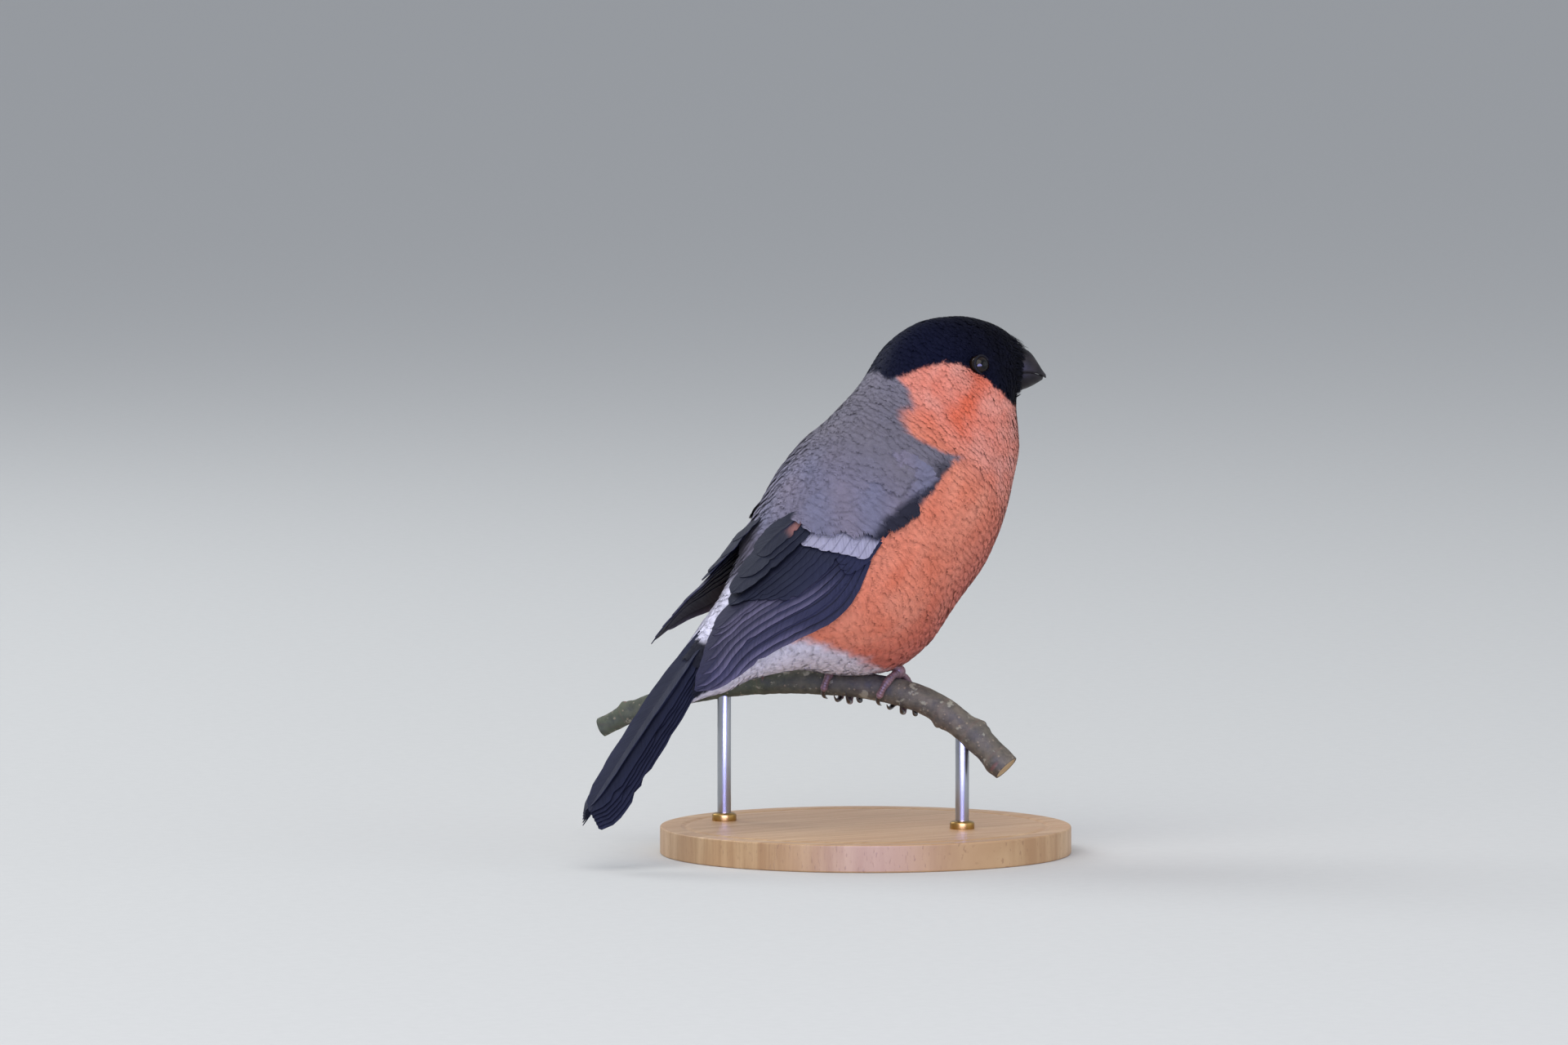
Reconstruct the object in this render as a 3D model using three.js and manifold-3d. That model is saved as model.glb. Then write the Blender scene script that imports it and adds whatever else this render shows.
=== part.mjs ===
// A cock bullfinch sitting on a cut twig, life size, with the twig held by a plain display stand.
// Millimetres, +Z up, bird heading +X, its left side +Y. The origin is the middle of the stand's underside.
import * as THREE from 'three';
import { mergeVertices } from 'three/addons/utils/BufferGeometryUtils.js';
import { LoftGeometry } from 'three/addons/geometries/LoftGeometry.js';
import Module from 'manifold-3d';

const wasm = await Module();
wasm.setup();

// Driving dimensions. Heights in the bird's own tables are measured from the twig's centre at the feet.
const GAP = 0.3; // between two pieces that touch
const PERCH_HEIGHT = 37; // twig centre above the floor, so that the hanging tail clears it
const FINEST = 0.01; // details smaller than this are smoothed out of the feathers
const RING_SIDES = 30; // points round the body
const HEAD_TURN = 25; // degrees, head turned to the bird's right
const HEAD_PIVOT_X = 22;

// Along the bird from the bill to the vent: centre x and z, pitch of the axis in degrees,
// half depth, half width, and how much narrower the upper side is than the lower.
const STATIONS = [
  { name: 'bill base', x: 37.0, z: 68.6, pitch: -6, depth: 4.9, width: 4.7, egg: 0.0 },
  { name: 'lores', x: 35.9, z: 68.9, pitch: 6, depth: 7.6, width: 7.2, egg: 0.06 },
  { name: 'brow', x: 33.6, z: 68.3, pitch: 17, depth: 11.0, width: 9.4, egg: 0.12 },
  { name: 'eyes', x: 30.4, z: 66.8, pitch: 28, depth: 14.9, width: 11.6, egg: 0.2 },
  { name: 'ears', x: 26.0, z: 63.8, pitch: 38, depth: 18.4, width: 14.2, egg: 0.27 },
  { name: 'nape', x: 21.6, z: 58.8, pitch: 44, depth: 20.3, width: 17.0, egg: 0.25 },
  { name: 'collar', x: 17.6, z: 51.6, pitch: 47, depth: 21.2, width: 19.6, egg: 0.15 },
  { name: 'shoulders', x: 12.6, z: 44.8, pitch: 48, depth: 23.0, width: 21.2, egg: 0.05 },
  { name: 'chest', x: 6.3, z: 37.9, pitch: 49, depth: 24.6, width: 22.3, egg: 0.0 },
  { name: 'breast', x: 0.3, z: 31.3, pitch: 48, depth: 24.5, width: 22.2, egg: 0.0 },
  { name: 'waist', x: -5.2, z: 24.3, pitch: 47, depth: 24.3, width: 21.4, egg: 0.0 },
  { name: 'belly', x: -11.2, z: 18.6, pitch: 45, depth: 22.4, width: 19.4, egg: 0.0 },
  { name: 'vent', x: -18.8, z: 15.0, pitch: 43, depth: 17.4, width: 16.4, egg: 0.0 },
  { name: 'rump', x: -27.8, z: 12.5, pitch: 45, depth: 11.9, width: 12.4, egg: 0.0 },
  { name: 'tail coverts', x: -37.4, z: 8.3, pitch: 40, depth: 7.7, width: 9.2, egg: 0.0 },
  { name: 'undertail', x: -43.8, z: 3.0, pitch: 49, depth: 5.6, width: 7.9, egg: 0.0 },
  { name: 'covert tips', x: -48.8, z: -2.6, pitch: 54, depth: 3.4, width: 7.3, egg: 0.0 },
];
const LAST = STATIONS.length - 1;
const station = (name) => STATIONS.findIndex((row) => row.name === name);
const HEAD_END = 4.45; // station numbers where the head, neck and torso part
const NECK_END = 6.3;

const COLOURS = {
  cap: 0x14151d, cheek: 0xe2694c, breast: 0xe57a57, wing: 0x1d1e2b, tail: 0x20223a, bill: 0x222024,
  eye: 0x0d0b0c, leg: 0x6f5057, claw: 0x2b2728, twig: 0x6b6a4c, stand: 0xb79b78, rod: 0x8d9094,
};

// Small helpers
const radians = THREE.MathUtils.degToRad;
const lerp = THREE.MathUtils.lerp;
const smoothstep = THREE.MathUtils.smoothstep;
const vec = (x, y, z) => new THREE.Vector3(x, y, z);
const vary = (spread) => (THREE.MathUtils.seededRandom() * 2 - 1) * spread;
const UP = vec(0, 0, 1);

// A geometry becomes a solid: shared corners are merged and its faces are made to point outwards.
function toSolid(geometry) {
  const plain = new THREE.BufferGeometry();
  plain.setAttribute('position', geometry.getAttribute('position').clone());
  if (geometry.index) plain.setIndex(geometry.index.clone());
  const merged = mergeVertices(plain, 1e-4);
  const position = merged.getAttribute('position');
  const triangles = [];
  let volume = 0;
  const [a, b, c] = [vec(), vec(), vec()];
  for (let i = 0; i < merged.index.count; i += 3) {
    const corners = [0, 1, 2].map((k) => merged.index.getX(i + k));
    if (new Set(corners).size < 3) continue;
    [a, b, c].forEach((corner, k) => corner.fromBufferAttribute(position, corners[k]));
    volume += a.dot(b.cross(c));
    triangles.push(corners);
  }
  if (volume < 0) triangles.forEach((corners) => corners.reverse());
  const vertProperties = new Float32Array(position.array);
  const triVerts = new Uint32Array(triangles.flat());
  return new wasm.Manifold(new wasm.Mesh({ numProp: 3, vertProperties, triVerts }));
}

const union = (solids) => solids.reduce((sum, solid) => sum.add(solid));

function largestPiece(solid) {
  const pieces = solid.decompose();
  return pieces.reduce((best, piece) => (piece.volume() > best.volume() ? piece : best));
}

function toGeometry(solid) {
  const mesh = largestPiece(solid).getMesh();
  const geometry = new THREE.BufferGeometry();
  geometry.setAttribute('position', new THREE.BufferAttribute(new Float32Array(mesh.vertProperties), 3));
  geometry.setIndex(new THREE.BufferAttribute(new Uint32Array(mesh.triVerts), 1));
  geometry.computeVertexNormals();
  return geometry;
}

// The middle of a ring, and a vector along its plane's normal
function ringMiddle(points) {
  return points.reduce((sum, point) => sum.add(point), vec(0, 0, 0)).divideScalar(points.length);
}

function ringNormal(points) {
  return points.reduce((sum, point, i) => {
    return sum.add(point.clone().cross(points[(i + 1) % points.length]));
  }, vec(0, 0, 0));
}

// A closed skin through the rings, which may run either way round.
function loft(rings) {
  const winding = rings.slice(1).reduce((sum, points, i) => {
    const step = ringMiddle(points).sub(ringMiddle(rings[i]));
    return sum + step.dot(ringNormal(rings[i]));
  }, 0);
  const ordered = winding < 0 ? rings.map((points) => [...points].reverse()) : rings;
  return toSolid(new LoftGeometry(ordered, { capStart: true, capEnd: true }));
}

// A ring of points round a centre, in the plane of two directions, with a radius that may follow the angle.
function ring(centre, across, up, radiusAt, sides) {
  return Array.from({ length: sides }, (_, i) => {
    const angle = (i / sides) * 2 * Math.PI;
    const radius = radiusAt(angle);
    return centre.clone().addScaledVector(across, radius * Math.sin(angle))
      .addScaledVector(up, radius * Math.cos(angle));
  });
}

// A tapering tube with round section along a list of points.
function tube(points, radii, sides) {
  const curve = new THREE.CatmullRomCurve3(points);
  const rings = radii.map((radius, i) => {
    const share = i / (radii.length - 1);
    const along = curve.getTangent(share);
    const across = along.clone().cross(UP).normalize();
    if (across.lengthSq() < 0.5) across.set(0, 1, 0);
    const up = across.clone().cross(along).normalize();
    return ring(curve.getPoint(share), across, up, () => radius, sides);
  });
  return loft(rings);
}

// Body: one smooth form through the stations, with the head turned
const centreLine = new THREE.CatmullRomCurve3(STATIONS.map((row) => vec(row.x, row.pitch, row.z)));
const girth = new THREE.CatmullRomCurve3(STATIONS.map((row) => vec(row.depth, row.width, row.egg)));

function turned(point, share) {
  const pivot = vec(HEAD_PIVOT_X, 0, 0);
  return point.clone().sub(pivot).applyAxisAngle(UP, -radians(HEAD_TURN) * share).add(pivot);
}

const turnShare = (t) => 1 - smoothstep(t, station('eyes'), station('shoulders') + 0.5);

function bodyFrame(t) {
  const share = THREE.MathUtils.clamp(t / LAST, 0, 1);
  const middle = centreLine.getPoint(share);
  const size = girth.getPoint(share);
  const pitch = radians(middle.y);
  return {
    centre: vec(middle.x, 0, middle.z),
    forward: vec(Math.cos(pitch), 0, Math.sin(pitch)),
    up: vec(-Math.sin(pitch), 0, Math.cos(pitch)),
    depth: size.x, width: size.y, egg: size.z,
  };
}

// How far the body is sunk in under a folded wing, at a station and an angle from the back.
const WING_BED = { depth: 3.4, from: 7.2, to: 13.6, upper: 22, lower: 92, fade: 16 };

function wingBed(t, angle) {
  const aside = Math.abs(THREE.MathUtils.radToDeg(angle > Math.PI ? angle - 2 * Math.PI : angle));
  const along = smoothstep(t, WING_BED.from, WING_BED.from + 1.2) * (1 - smoothstep(t, WING_BED.to - 1.2, WING_BED.to));
  const round = smoothstep(aside, WING_BED.upper - WING_BED.fade, WING_BED.upper + 6)
    * (1 - smoothstep(aside, WING_BED.lower - WING_BED.fade, WING_BED.lower));
  return WING_BED.depth * along * round;
}

// A point on the body: t is the station number, angle runs from the back (0) over the left side.
function bodyPoint(t, angle, swell = 0, shift = 0) {
  const frame = bodyFrame(t);
  const side = (frame.width * (1 - frame.egg * Math.cos(angle)) + swell) * Math.sin(angle);
  const rise = (frame.depth + swell) * Math.cos(angle);
  const point = frame.centre.clone().addScaledVector(frame.up, rise).addScaledVector(frame.forward, shift);
  point.y += side;
  return turned(point, turnShare(t));
}

function bodyRing(t, swell, shift) {
  return Array.from({ length: RING_SIDES }, (_, i) => {
    const angle = (i / RING_SIDES) * 2 * Math.PI;
    return bodyPoint(t, angle, swell - wingBed(t, angle), shift);
  });
}

// A length of the body between two stations. Its end rings may be shifted along the body.
function bodyLength(from, to, count, { swell = 0, front = 0, back = 0 } = {}) {
  const rings = [];
  for (let i = 0; i <= count; i += 1) {
    const shift = (i === 0 ? front : 0) + (i === count ? back : 0);
    rings.push(bodyRing(lerp(from, to, i / count), swell, shift));
  }
  return loft(rings);
}

const HALF_GAP = GAP / 2;
const torsoPlain = bodyLength(NECK_END, LAST, 22, { front: -HALF_GAP });
const torsoGrown = bodyLength(NECK_END, LAST, 22, { swell: GAP, front: HALF_GAP, back: -GAP });

// Head: eye sockets with a raised rim of lid, and the front face that the bill meets. Each eye looks out
// square to the side of the head, so it is turned forwards by its splay and upwards by its rise, in degrees,
// and its lid goes round it at a share of its radius out from its middle.
const EYE = { x: 27.0, y: 9.8, z: 69.5, radius: 2.3, lid: 0.4, lidShare: 0.58, splay: 28, rise: 12 };

const eyeCentre = (side) => turned(vec(EYE.x, side * EYE.y, EYE.z), 1);

function sphere(centre, radius, across = 16, down = 10) {
  return toSolid(new THREE.SphereGeometry(radius, across, down).translate(centre.x, centre.y, centre.z));
}

function eyelid(side) {
  const out = EYE.radius * EYE.lidShare;
  const rim = new THREE.TorusGeometry(Math.sqrt((EYE.radius + GAP) ** 2 - out ** 2), EYE.lid, 6, 16);
  rim.rotateX(Math.PI / 2).translate(0, side * out, 0);
  rim.rotateX(side * radians(EYE.rise)).rotateZ(-side * radians(EYE.splay));
  rim.translate(EYE.x, side * EYE.y, EYE.z);
  rim.translate(-HEAD_PIVOT_X, 0, 0).rotateZ(-radians(HEAD_TURN)).translate(HEAD_PIVOT_X, 0, 0);
  return toSolid(rim);
}

function makeHead() {
  let head = bodyLength(0, HEAD_END, 11, { back: HALF_GAP });
  [-1, 1].forEach((side) => {
    head = head.add(eyelid(side)).subtract(sphere(eyeCentre(side), EYE.radius + GAP));
  });
  return head;
}

const makeEye = (side) => sphere(eyeCentre(side), EYE.radius);

const makeNeck = () => bodyLength(HEAD_END, NECK_END, 4, { front: -HALF_GAP, back: HALF_GAP });

// Bill: short, deep and swollen. Heights are measured from the gape line at the bill's root.
const BILL = {
  rootX: 36.9, gapeZ: 67.4, length: 6.9, drop: 1.0, arch: 0.5, halfWidth: 4.2, lean: 6, sides: 8,
  culmen: [5.1, 4.95, 4.5, 3.7, 2.6, 1.4, 0.5],
  keel: [3.9, 3.8, 3.4, 2.7, 1.8, 0.8],
  hook: 0.7,
};
const NOSTRIL = { ahead: 1.5, aside: 2.9, above: 3.6, radius: 0.55 };

// One half of the bill: its outline on the far side of the gape follows the list of heights.
function billHalf(heights, sign, length) {
  const last = heights.length - 1;
  const rings = heights.map((height, i) => {
    const share = i / last;
    const reachX = length * share ** 0.85;
    const bite = reachX / BILL.length;
    const x = BILL.rootX + GAP + reachX;
    const gape = BILL.gapeZ - BILL.drop * bite + BILL.arch * Math.sin(bite * Math.PI) + sign * HALF_GAP;
    const half = BILL.halfWidth * Math.sqrt(1 - (0.97 * share) ** 2.2);
    return Array.from({ length: BILL.sides + 1 }, (_, k) => {
      const angle = (k / BILL.sides) * Math.PI;
      const z = gape + sign * height * Math.sin(angle) ** 0.9;
      const lean = (z - BILL.gapeZ) * Math.tan(radians(BILL.lean)) * (1 - share);
      return turned(vec(x + lean, half * Math.cos(angle), z), 1);
    });
  });
  return loft(rings);
}

function makeBillUpper() {
  const nostrils = [-1, 1].map((side) => {
    const spot = turned(vec(BILL.rootX + NOSTRIL.ahead, side * NOSTRIL.aside, BILL.gapeZ + NOSTRIL.above), 1);
    return sphere(spot, NOSTRIL.radius, 8, 6);
  });
  return billHalf(BILL.culmen, 1, BILL.length).subtract(union(nostrils));
}

const makeBillLower = () => billHalf(BILL.keel, -1, BILL.length - BILL.hook);

// Feathers: a vane is a thin blade with a blunt tip, laid on a sheet that is a function of (along, across).
// The sheet's face is 1 or -1, whichever makes its normal point away from the body.
const OUTLINE = [
  { at: 0.0, half: 0.5 }, { at: 0.42, half: 0.95 }, { at: 0.84, half: 0.88 }, { at: 1.0, half: 0.26 },
];
const VANE_THICKNESS = 0.55;
const SHEET_STEP = 0.004;

const sheetAcross = (sheet, s, v) => sheet.at(s, v + SHEET_STEP).sub(sheet.at(s, v - SHEET_STEP));

function sheetNormal(sheet, s, v) {
  const along = sheet.at(s + SHEET_STEP, v).sub(sheet.at(s - SHEET_STEP, v));
  return along.cross(sheetAcross(sheet, s, v)).normalize().multiplyScalar(sheet.face);
}

// The lean lifts a vane's lower edge over its neighbour and tucks its upper edge under the next.
function vane(sheet, { root, tip, width, height, lean = 0 }) {
  const spot = (share) => [lerp(root[0], tip[0], share), lerp(root[1], tip[1], share)];
  const rings = OUTLINE.map(({ at: share, half }) => {
    const out = sheetNormal(sheet, ...spot(share));
    const along = sheet.at(...spot(share + 0.02)).sub(sheet.at(...spot(share - 0.02))).normalize();
    const across = out.clone().cross(along).normalize();
    if (across.dot(sheetAcross(sheet, ...spot(share))) < 0) across.negate();
    const corner = (sign, level) => sheet.at(...spot(share)).addScaledVector(across, sign * half * width / 2)
      .addScaledVector(out, height + level - sign * lean * half);
    return [corner(-1, 0), corner(1, 0), corner(1, -VANE_THICKNESS), corner(-1, -VANE_THICKNESS)];
  });
  return loft(rings);
}

// A slab of sheet between two lines along and two across, with its top and bottom at given heights.
function slab(sheet, { from, to, low, high, top, bottom, rows, columns }) {
  const rings = [];
  for (let i = 0; i <= rows; i += 1) {
    const s = lerp(from, to, i / rows);
    const line = (level) => Array.from({ length: columns + 1 }, (_, k) => {
      const v = lerp(low, high, k / columns);
      return sheet.at(s, v).addScaledVector(sheetNormal(sheet, s, v), level(s, v));
    });
    rings.push([...line(top), ...line(bottom).reverse()]);
  }
  return loft(rings);
}

// Wing: the folded wing lies along the body and leaves it at the tip. Each row is a station on the body,
// the angles from the back of the wing's lower and upper edge, and how far it stands out from the body.
const WING_ROWS = {
  right: [[7.0, 81, 46, -1.6], [8.1, 76, 34, -1.6], [9.3, 71, 25, -1.2], [10.5, 73, 19, -0.5],
    [11.7, 81, 16, 0.3], [12.9, 86, 17, 1.0], [14.2, 88, 30, 1.6], [15.65, 84, 62, 2.4]],
  left: [[7.0, 81, 46, -2.2], [8.0, 77, 34, -2.6], [9.1, 75, 25, -2.2], [10.2, 75, 19, -0.8],
    [11.3, 75, 16, 1.0], [12.4, 71, 17, 3.0], [13.6, 60, 22, 5.2], [14.8, 50, 34, 7.2]],
};

const WING_FACE = 1;
const WING_SEEDS = { left: 48, right: 48 };

function wingSheet(side) {
  const mirror = side === 'left' ? 1 : -1;
  const rows = WING_ROWS[side];
  const edges = new THREE.CatmullRomCurve3(rows.map(([t, lower, upper]) => vec(t, lower, upper)));
  const heights = new THREE.CatmullRomCurve3(rows.map(([, , , out], i) => vec(i, out, 0)));
  const at = (s, v) => {
    const share = THREE.MathUtils.clamp(s, 0, 1);
    const edge = edges.getPoint(share);
    const beyond = (s - share) * (rows.length - 1);
    const angle = radians(lerp(edge.y, edge.z, v));
    return bodyPoint(edge.x + beyond, mirror * angle, heights.getPoint(share).y);
  };
  return { at, face: mirror * WING_FACE };
}

// Tiers of the wing. Each row gives how many feathers, the line of roots and tips from the lower edge
// up as (along, across), their width, and their height over the sheet.
const TIERS = {
  primaries: {
    count: 9, roots: [[0.36, 0.1], [0.42, 0.44]], width: 5.6, height: 0.0, lean: 0.34,
    tips: [[0.93, 0.07], [0.985, 0.2], [1.0, 0.36], [0.985, 0.52], [0.95, 0.62], [0.915, 0.7], [0.885, 0.75],
      [0.86, 0.79], [0.84, 0.82]],
  },
  secondaries: {
    count: 6, roots: [[0.34, 0.42], [0.36, 0.7]], width: 6.2, height: 0.5, lean: 0.34,
    tips: [[0.68, 0.5], [0.7, 0.58], [0.715, 0.65], [0.73, 0.71], [0.745, 0.77], [0.76, 0.83]],
  },
  tertials: {
    count: 3, roots: [[0.3, 0.76], [0.3, 0.88]], width: 7.4, height: 1.0, lean: 0.4,
    tips: [[0.72, 0.84], [0.66, 0.9], [0.58, 0.95]],
  },
  primaryCoverts: {
    count: 5, roots: [[0.2, 0.06], [0.24, 0.2]], width: 3.6, height: 0.75, lean: 0.3,
    tips: [[0.44, 0.04], [0.465, 0.1], [0.48, 0.16], [0.48, 0.22], [0.47, 0.28]],
  },
  greaterCoverts: {
    count: 7, roots: [[0.2, 0.26], [0.2, 0.9]], width: 5.4, height: 1.5, lean: 0.36,
    tips: [[0.4, 0.26], [0.415, 0.38], [0.425, 0.49], [0.43, 0.6], [0.435, 0.71], [0.43, 0.82], [0.42, 0.93]],
  },
  medianCoverts: {
    count: 6, roots: [[0.1, 0.2], [0.1, 0.88]], width: 5.6, height: 1.9, lean: 0.32,
    tips: [[0.265, 0.24], [0.28, 0.38], [0.29, 0.51], [0.295, 0.64], [0.295, 0.77], [0.29, 0.9]],
  },
  alula: {
    count: 2, roots: [[0.08, 0.06], [0.1, 0.12]], width: 3.4, height: 1.4, lean: 0.3,
    tips: [[0.3, 0.03], [0.27, 0.12]],
  },
};

function wingTier(sheet, { count, roots, tips, width, height, lean }) {
  return Array.from({ length: count }, (_, i) => {
    const share = count > 1 ? i / (count - 1) : 0;
    const root = [lerp(roots[0][0], roots[1][0], share), lerp(roots[0][1], roots[1][1], share)];
    const tip = [tips[i][0] + vary(0.004), tips[i][1] + vary(0.006)];
    return vane(sheet, { root, tip, width: width * (1 + vary(0.05)), height: height + vary(0.03), lean });
  });
}

// The flesh of the wing is a low swelling under the coverts.
const WING_CORE = { reach: 0.56, swell: 2.1, sunk: 0.2, bottom: 2.6 };

function makeWing(side) {
  THREE.MathUtils.seededRandom(WING_SEEDS[side]);
  const sheet = wingSheet(side);
  const feathers = Object.values(TIERS).flatMap((tier) => wingTier(sheet, tier));
  const rise = (s) => WING_CORE.swell * smoothstep(s, -0.03, 0.08) * (1 - smoothstep(s, 0.16, 0.4)) - WING_CORE.sunk;
  const core = slab(sheet, {
    from: 0, to: WING_CORE.reach, low: 0.05, high: 0.93, rows: 9, columns: 5,
    top: (s, v) => rise(s) * (1 - 0.5 * (2 * v - 1) ** 4), bottom: () => -WING_CORE.bottom,
  });
  return union([core, ...feathers]).subtract(torsoGrown).simplify(FINEST);
}

// Tail: twelve feathers folded into a narrow fan, the middle pair on top
const TAIL = {
  rootX: -37.1, rootZ: 19.2, pitch: 49.6, length: 58.5, pairs: 6, width: 7.8, spacing: 0.75, fan: 0.3,
  step: 0.42, notch: 0.007, arch: 0.9, droop: 0.06,
};

const tailSheet = {
  face: -1,
  at: (s, v) => {
    const pitch = radians(TAIL.pitch);
    const reach = s * TAIL.length;
    const arch = TAIL.arch * Math.sin(s * Math.PI) - TAIL.droop * v * v;
    const x = TAIL.rootX - reach * Math.cos(pitch) - arch * Math.sin(pitch);
    return vec(x, v, TAIL.rootZ - reach * Math.sin(pitch) + arch * Math.cos(pitch));
  },
};

function makeTail() {
  const feathers = [];
  for (let pair = 0; pair < TAIL.pairs; pair += 1) {
    [-1, 1].forEach((side) => {
      const aside = side * (TAIL.spacing + TAIL.fan * pair);
      const height = TAIL.step * pair + (side > 0 ? TAIL.step / 2 : 0);
      feathers.push(vane(tailSheet, {
        root: [0, aside * 0.5], tip: [1 - TAIL.notch * (TAIL.pairs - 1 - pair), aside * 1.5],
        width: TAIL.width, height: -height, lean: side * 0.16,
      }));
    });
  }
  return union(feathers).subtract(torsoGrown).simplify(FINEST);
}

// Twig: a bent length with leaf scars, cut square at both ends
const TWIG_TURN = 20; // degrees that its right end comes towards the viewer
const VIEW_YAW = 35; // degrees between the bird's heading and the picture plane
const TWIG_LINE = [[-58, -11.3], [-46.4, -5.5], [-34, -2.2], [-21.4, -0.3], [-8.6, 0.1], [0.4, -0.4], [10.4, -2.4],
  [15.5, -4.6], [20.5, -8.1], [26, -12.8], [30.5, -17.3]];
const TWIG_RADIUS = { left: 2.15, right: 3.0 };
const TWIG_SCARS = [-52, -43, -31.5, -22, 17.5, 23.5, 29];

const twigAxis = (() => {
  const yaw = radians(VIEW_YAW);
  const turn = radians(TWIG_TURN);
  return vec(Math.cos(yaw) - Math.tan(turn) * Math.sin(yaw), -Math.sin(yaw) - Math.tan(turn) * Math.cos(yaw), 0);
})();
const twigCurve = new THREE.CatmullRomCurve3(TWIG_LINE.map(([u, z]) => twigAxis.clone().multiplyScalar(u).setZ(z)));

function twigRings(swellAt) {
  const count = 34;
  return Array.from({ length: count + 1 }, (_, i) => {
    const share = i / count;
    const centre = twigCurve.getPointAt(share);
    const along = twigCurve.getTangentAt(share);
    const across = along.clone().cross(UP).normalize();
    const up = across.clone().cross(along);
    const u = centre.clone().setZ(0).dot(twigAxis) / twigAxis.lengthSq();
    const plain = lerp(TWIG_RADIUS.left, TWIG_RADIUS.right, smoothstep(share, 0.1, 0.8)) + swellAt(u);
    const radiusAt = (angle) => TWIG_SCARS.reduce((radius, scar, k) => {
      const near = Math.exp(-(((u - scar) / 1.3) ** 2));
      const facing = Math.max(0, Math.cos(angle - k * 2.4)) ** 2;
      return radius + 0.85 * near * facing + 0.12 * near;
    }, plain);
    return ring(centre, across, up, radiusAt, 12);
  });
}

const makeTwig = () => loft(twigRings(() => 0));
const twigGrown = loft(twigRings(() => GAP));

// Feet: three toes over the front of the twig and one behind it, each with a claw
const FEET = { left: { u: -5.8, side: 1 }, right: { u: 6.4, side: -1 } };
const TOES = [
  { name: 'inner', start: 18, end: 150, spread: -2.5, slant: 1.9, radius: 0.78, forward: 1 },
  { name: 'middle', start: 20, end: 182, spread: 0.0, slant: 2.6, radius: 0.84, forward: 1 },
  { name: 'outer', start: 18, end: 158, spread: 2.6, slant: 2.4, radius: 0.76, forward: 1 },
  { name: 'hind', start: 14, end: 112, spread: 0.0, slant: -2.2, radius: 0.88, forward: -1 },
];
const CLAW = { turn: 58, radius: 0.56, apart: 7 };
const PALM = { radius: 1.5, height: 1.55 };
const FOOT_HOLLOW = { swell: PALM.radius + PALM.height + GAP, reach: 5.5, fade: 3 };

// The hollow in the belly feathers that the twig and the feet lie in.
const hollow = loft(twigRings((u) => {
  const beside = Math.min(...Object.values(FEET).map((foot) => Math.abs(u - foot.u)));
  const share = 1 - smoothstep(beside, FOOT_HOLLOW.reach, FOOT_HOLLOW.reach + FOOT_HOLLOW.fade);
  return lerp(GAP, FOOT_HOLLOW.swell, share);
}));

function footFrame(foot) {
  const share = [...Array(400).keys()].map((i) => i / 399).reduce((best, candidate) => {
    const off = (value) => Math.abs(twigCurve.getPointAt(value).setZ(0).dot(twigAxis) / twigAxis.lengthSq() - foot.u);
    return off(candidate) < off(best) ? candidate : best;
  }, 0);
  const along = twigCurve.getTangentAt(share);
  const front = UP.clone().cross(along).normalize();
  const up = along.clone().cross(front);
  const radius = lerp(TWIG_RADIUS.left, TWIG_RADIUS.right, smoothstep(share, 0.1, 0.8));
  return { centre: twigCurve.getPointAt(share), along, front, up, radius };
}

// A point beside the twig at an angle from its top, and at a distance out from the twig's surface.
function gripPoint(frame, angle, out, along, forward) {
  const reach = frame.radius + out;
  return frame.centre.clone().addScaledVector(frame.along, along)
    .addScaledVector(frame.up, reach * Math.cos(radians(angle)))
    .addScaledVector(frame.front, forward * reach * Math.sin(radians(angle)));
}

function toePath(frame, toe, from, to, count, side) {
  return Array.from({ length: count + 1 }, (_, i) => {
    const share = i / count;
    const angle = lerp(from, to, share);
    const reach = THREE.MathUtils.clamp((angle - toe.start) / (toe.end - toe.start), 0, 2);
    const loose = 0.28 + toe.radius + 0.5 * Math.max(0, reach - 0.75) ** 1.2 + 0.15 * (1 - Math.min(reach, 1));
    const along = (toe.slant - side * toe.spread) * Math.min(reach, 1.1);
    return gripPoint(frame, angle, loose, along, toe.forward);
  });
}

function taperedPath(points, radiusAt, sides) {
  const curve = new THREE.CatmullRomCurve3(points);
  const count = points.length - 1;
  const first = curve.getTangent(0);
  let across = first.clone().cross(UP);
  if (across.lengthSq() < 0.01) across = vec(1, 0, 0);
  across.normalize();
  const rings = points.map((_, i) => {
    const along = curve.getTangent(i / count);
    across.sub(along.clone().multiplyScalar(across.dot(along))).normalize();
    const up = across.clone().cross(along);
    return ring(curve.getPoint(i / count), across, up, () => radiusAt(i / count), sides);
  });
  return loft(rings);
}

const palm = (frame, swell) => sphere(gripPoint(frame, 0, PALM.height, 0, 1), PALM.radius + swell, 10, 7);

function makeFoot(foot) {
  const frame = footFrame(foot);
  const toes = TOES.map((toe) => {
    const joints = toe.forward > 0 ? 3 : 2;
    const radiusAt = (share) => toe.radius * (1.04 - 0.2 * share) * (1 + 0.09 * Math.cos(share * joints * 2 * Math.PI));
    return taperedPath(toePath(frame, toe, 0, toe.end, 9, foot.side), radiusAt, 7);
  });
  return union([palm(frame, 0), ...toes]).subtract(twigGrown);
}

function makeClaw(foot, toe) {
  const frame = footFrame(foot);
  const start = toe.end + CLAW.apart;
  const points = toePath(frame, toe, start, start + CLAW.turn, 5, foot.side);
  return taperedPath(points, (share) => CLAW.radius * (1 - 0.86 * share ** 1.2), 6).subtract(twigGrown);
}

// Leg: the scaly shank, which runs from the foot up into a close socket in the belly
const SHANK = { back: 6.5, out: 2.0, rise: 14, radius: 1.0, heel: 0.5 };

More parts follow.
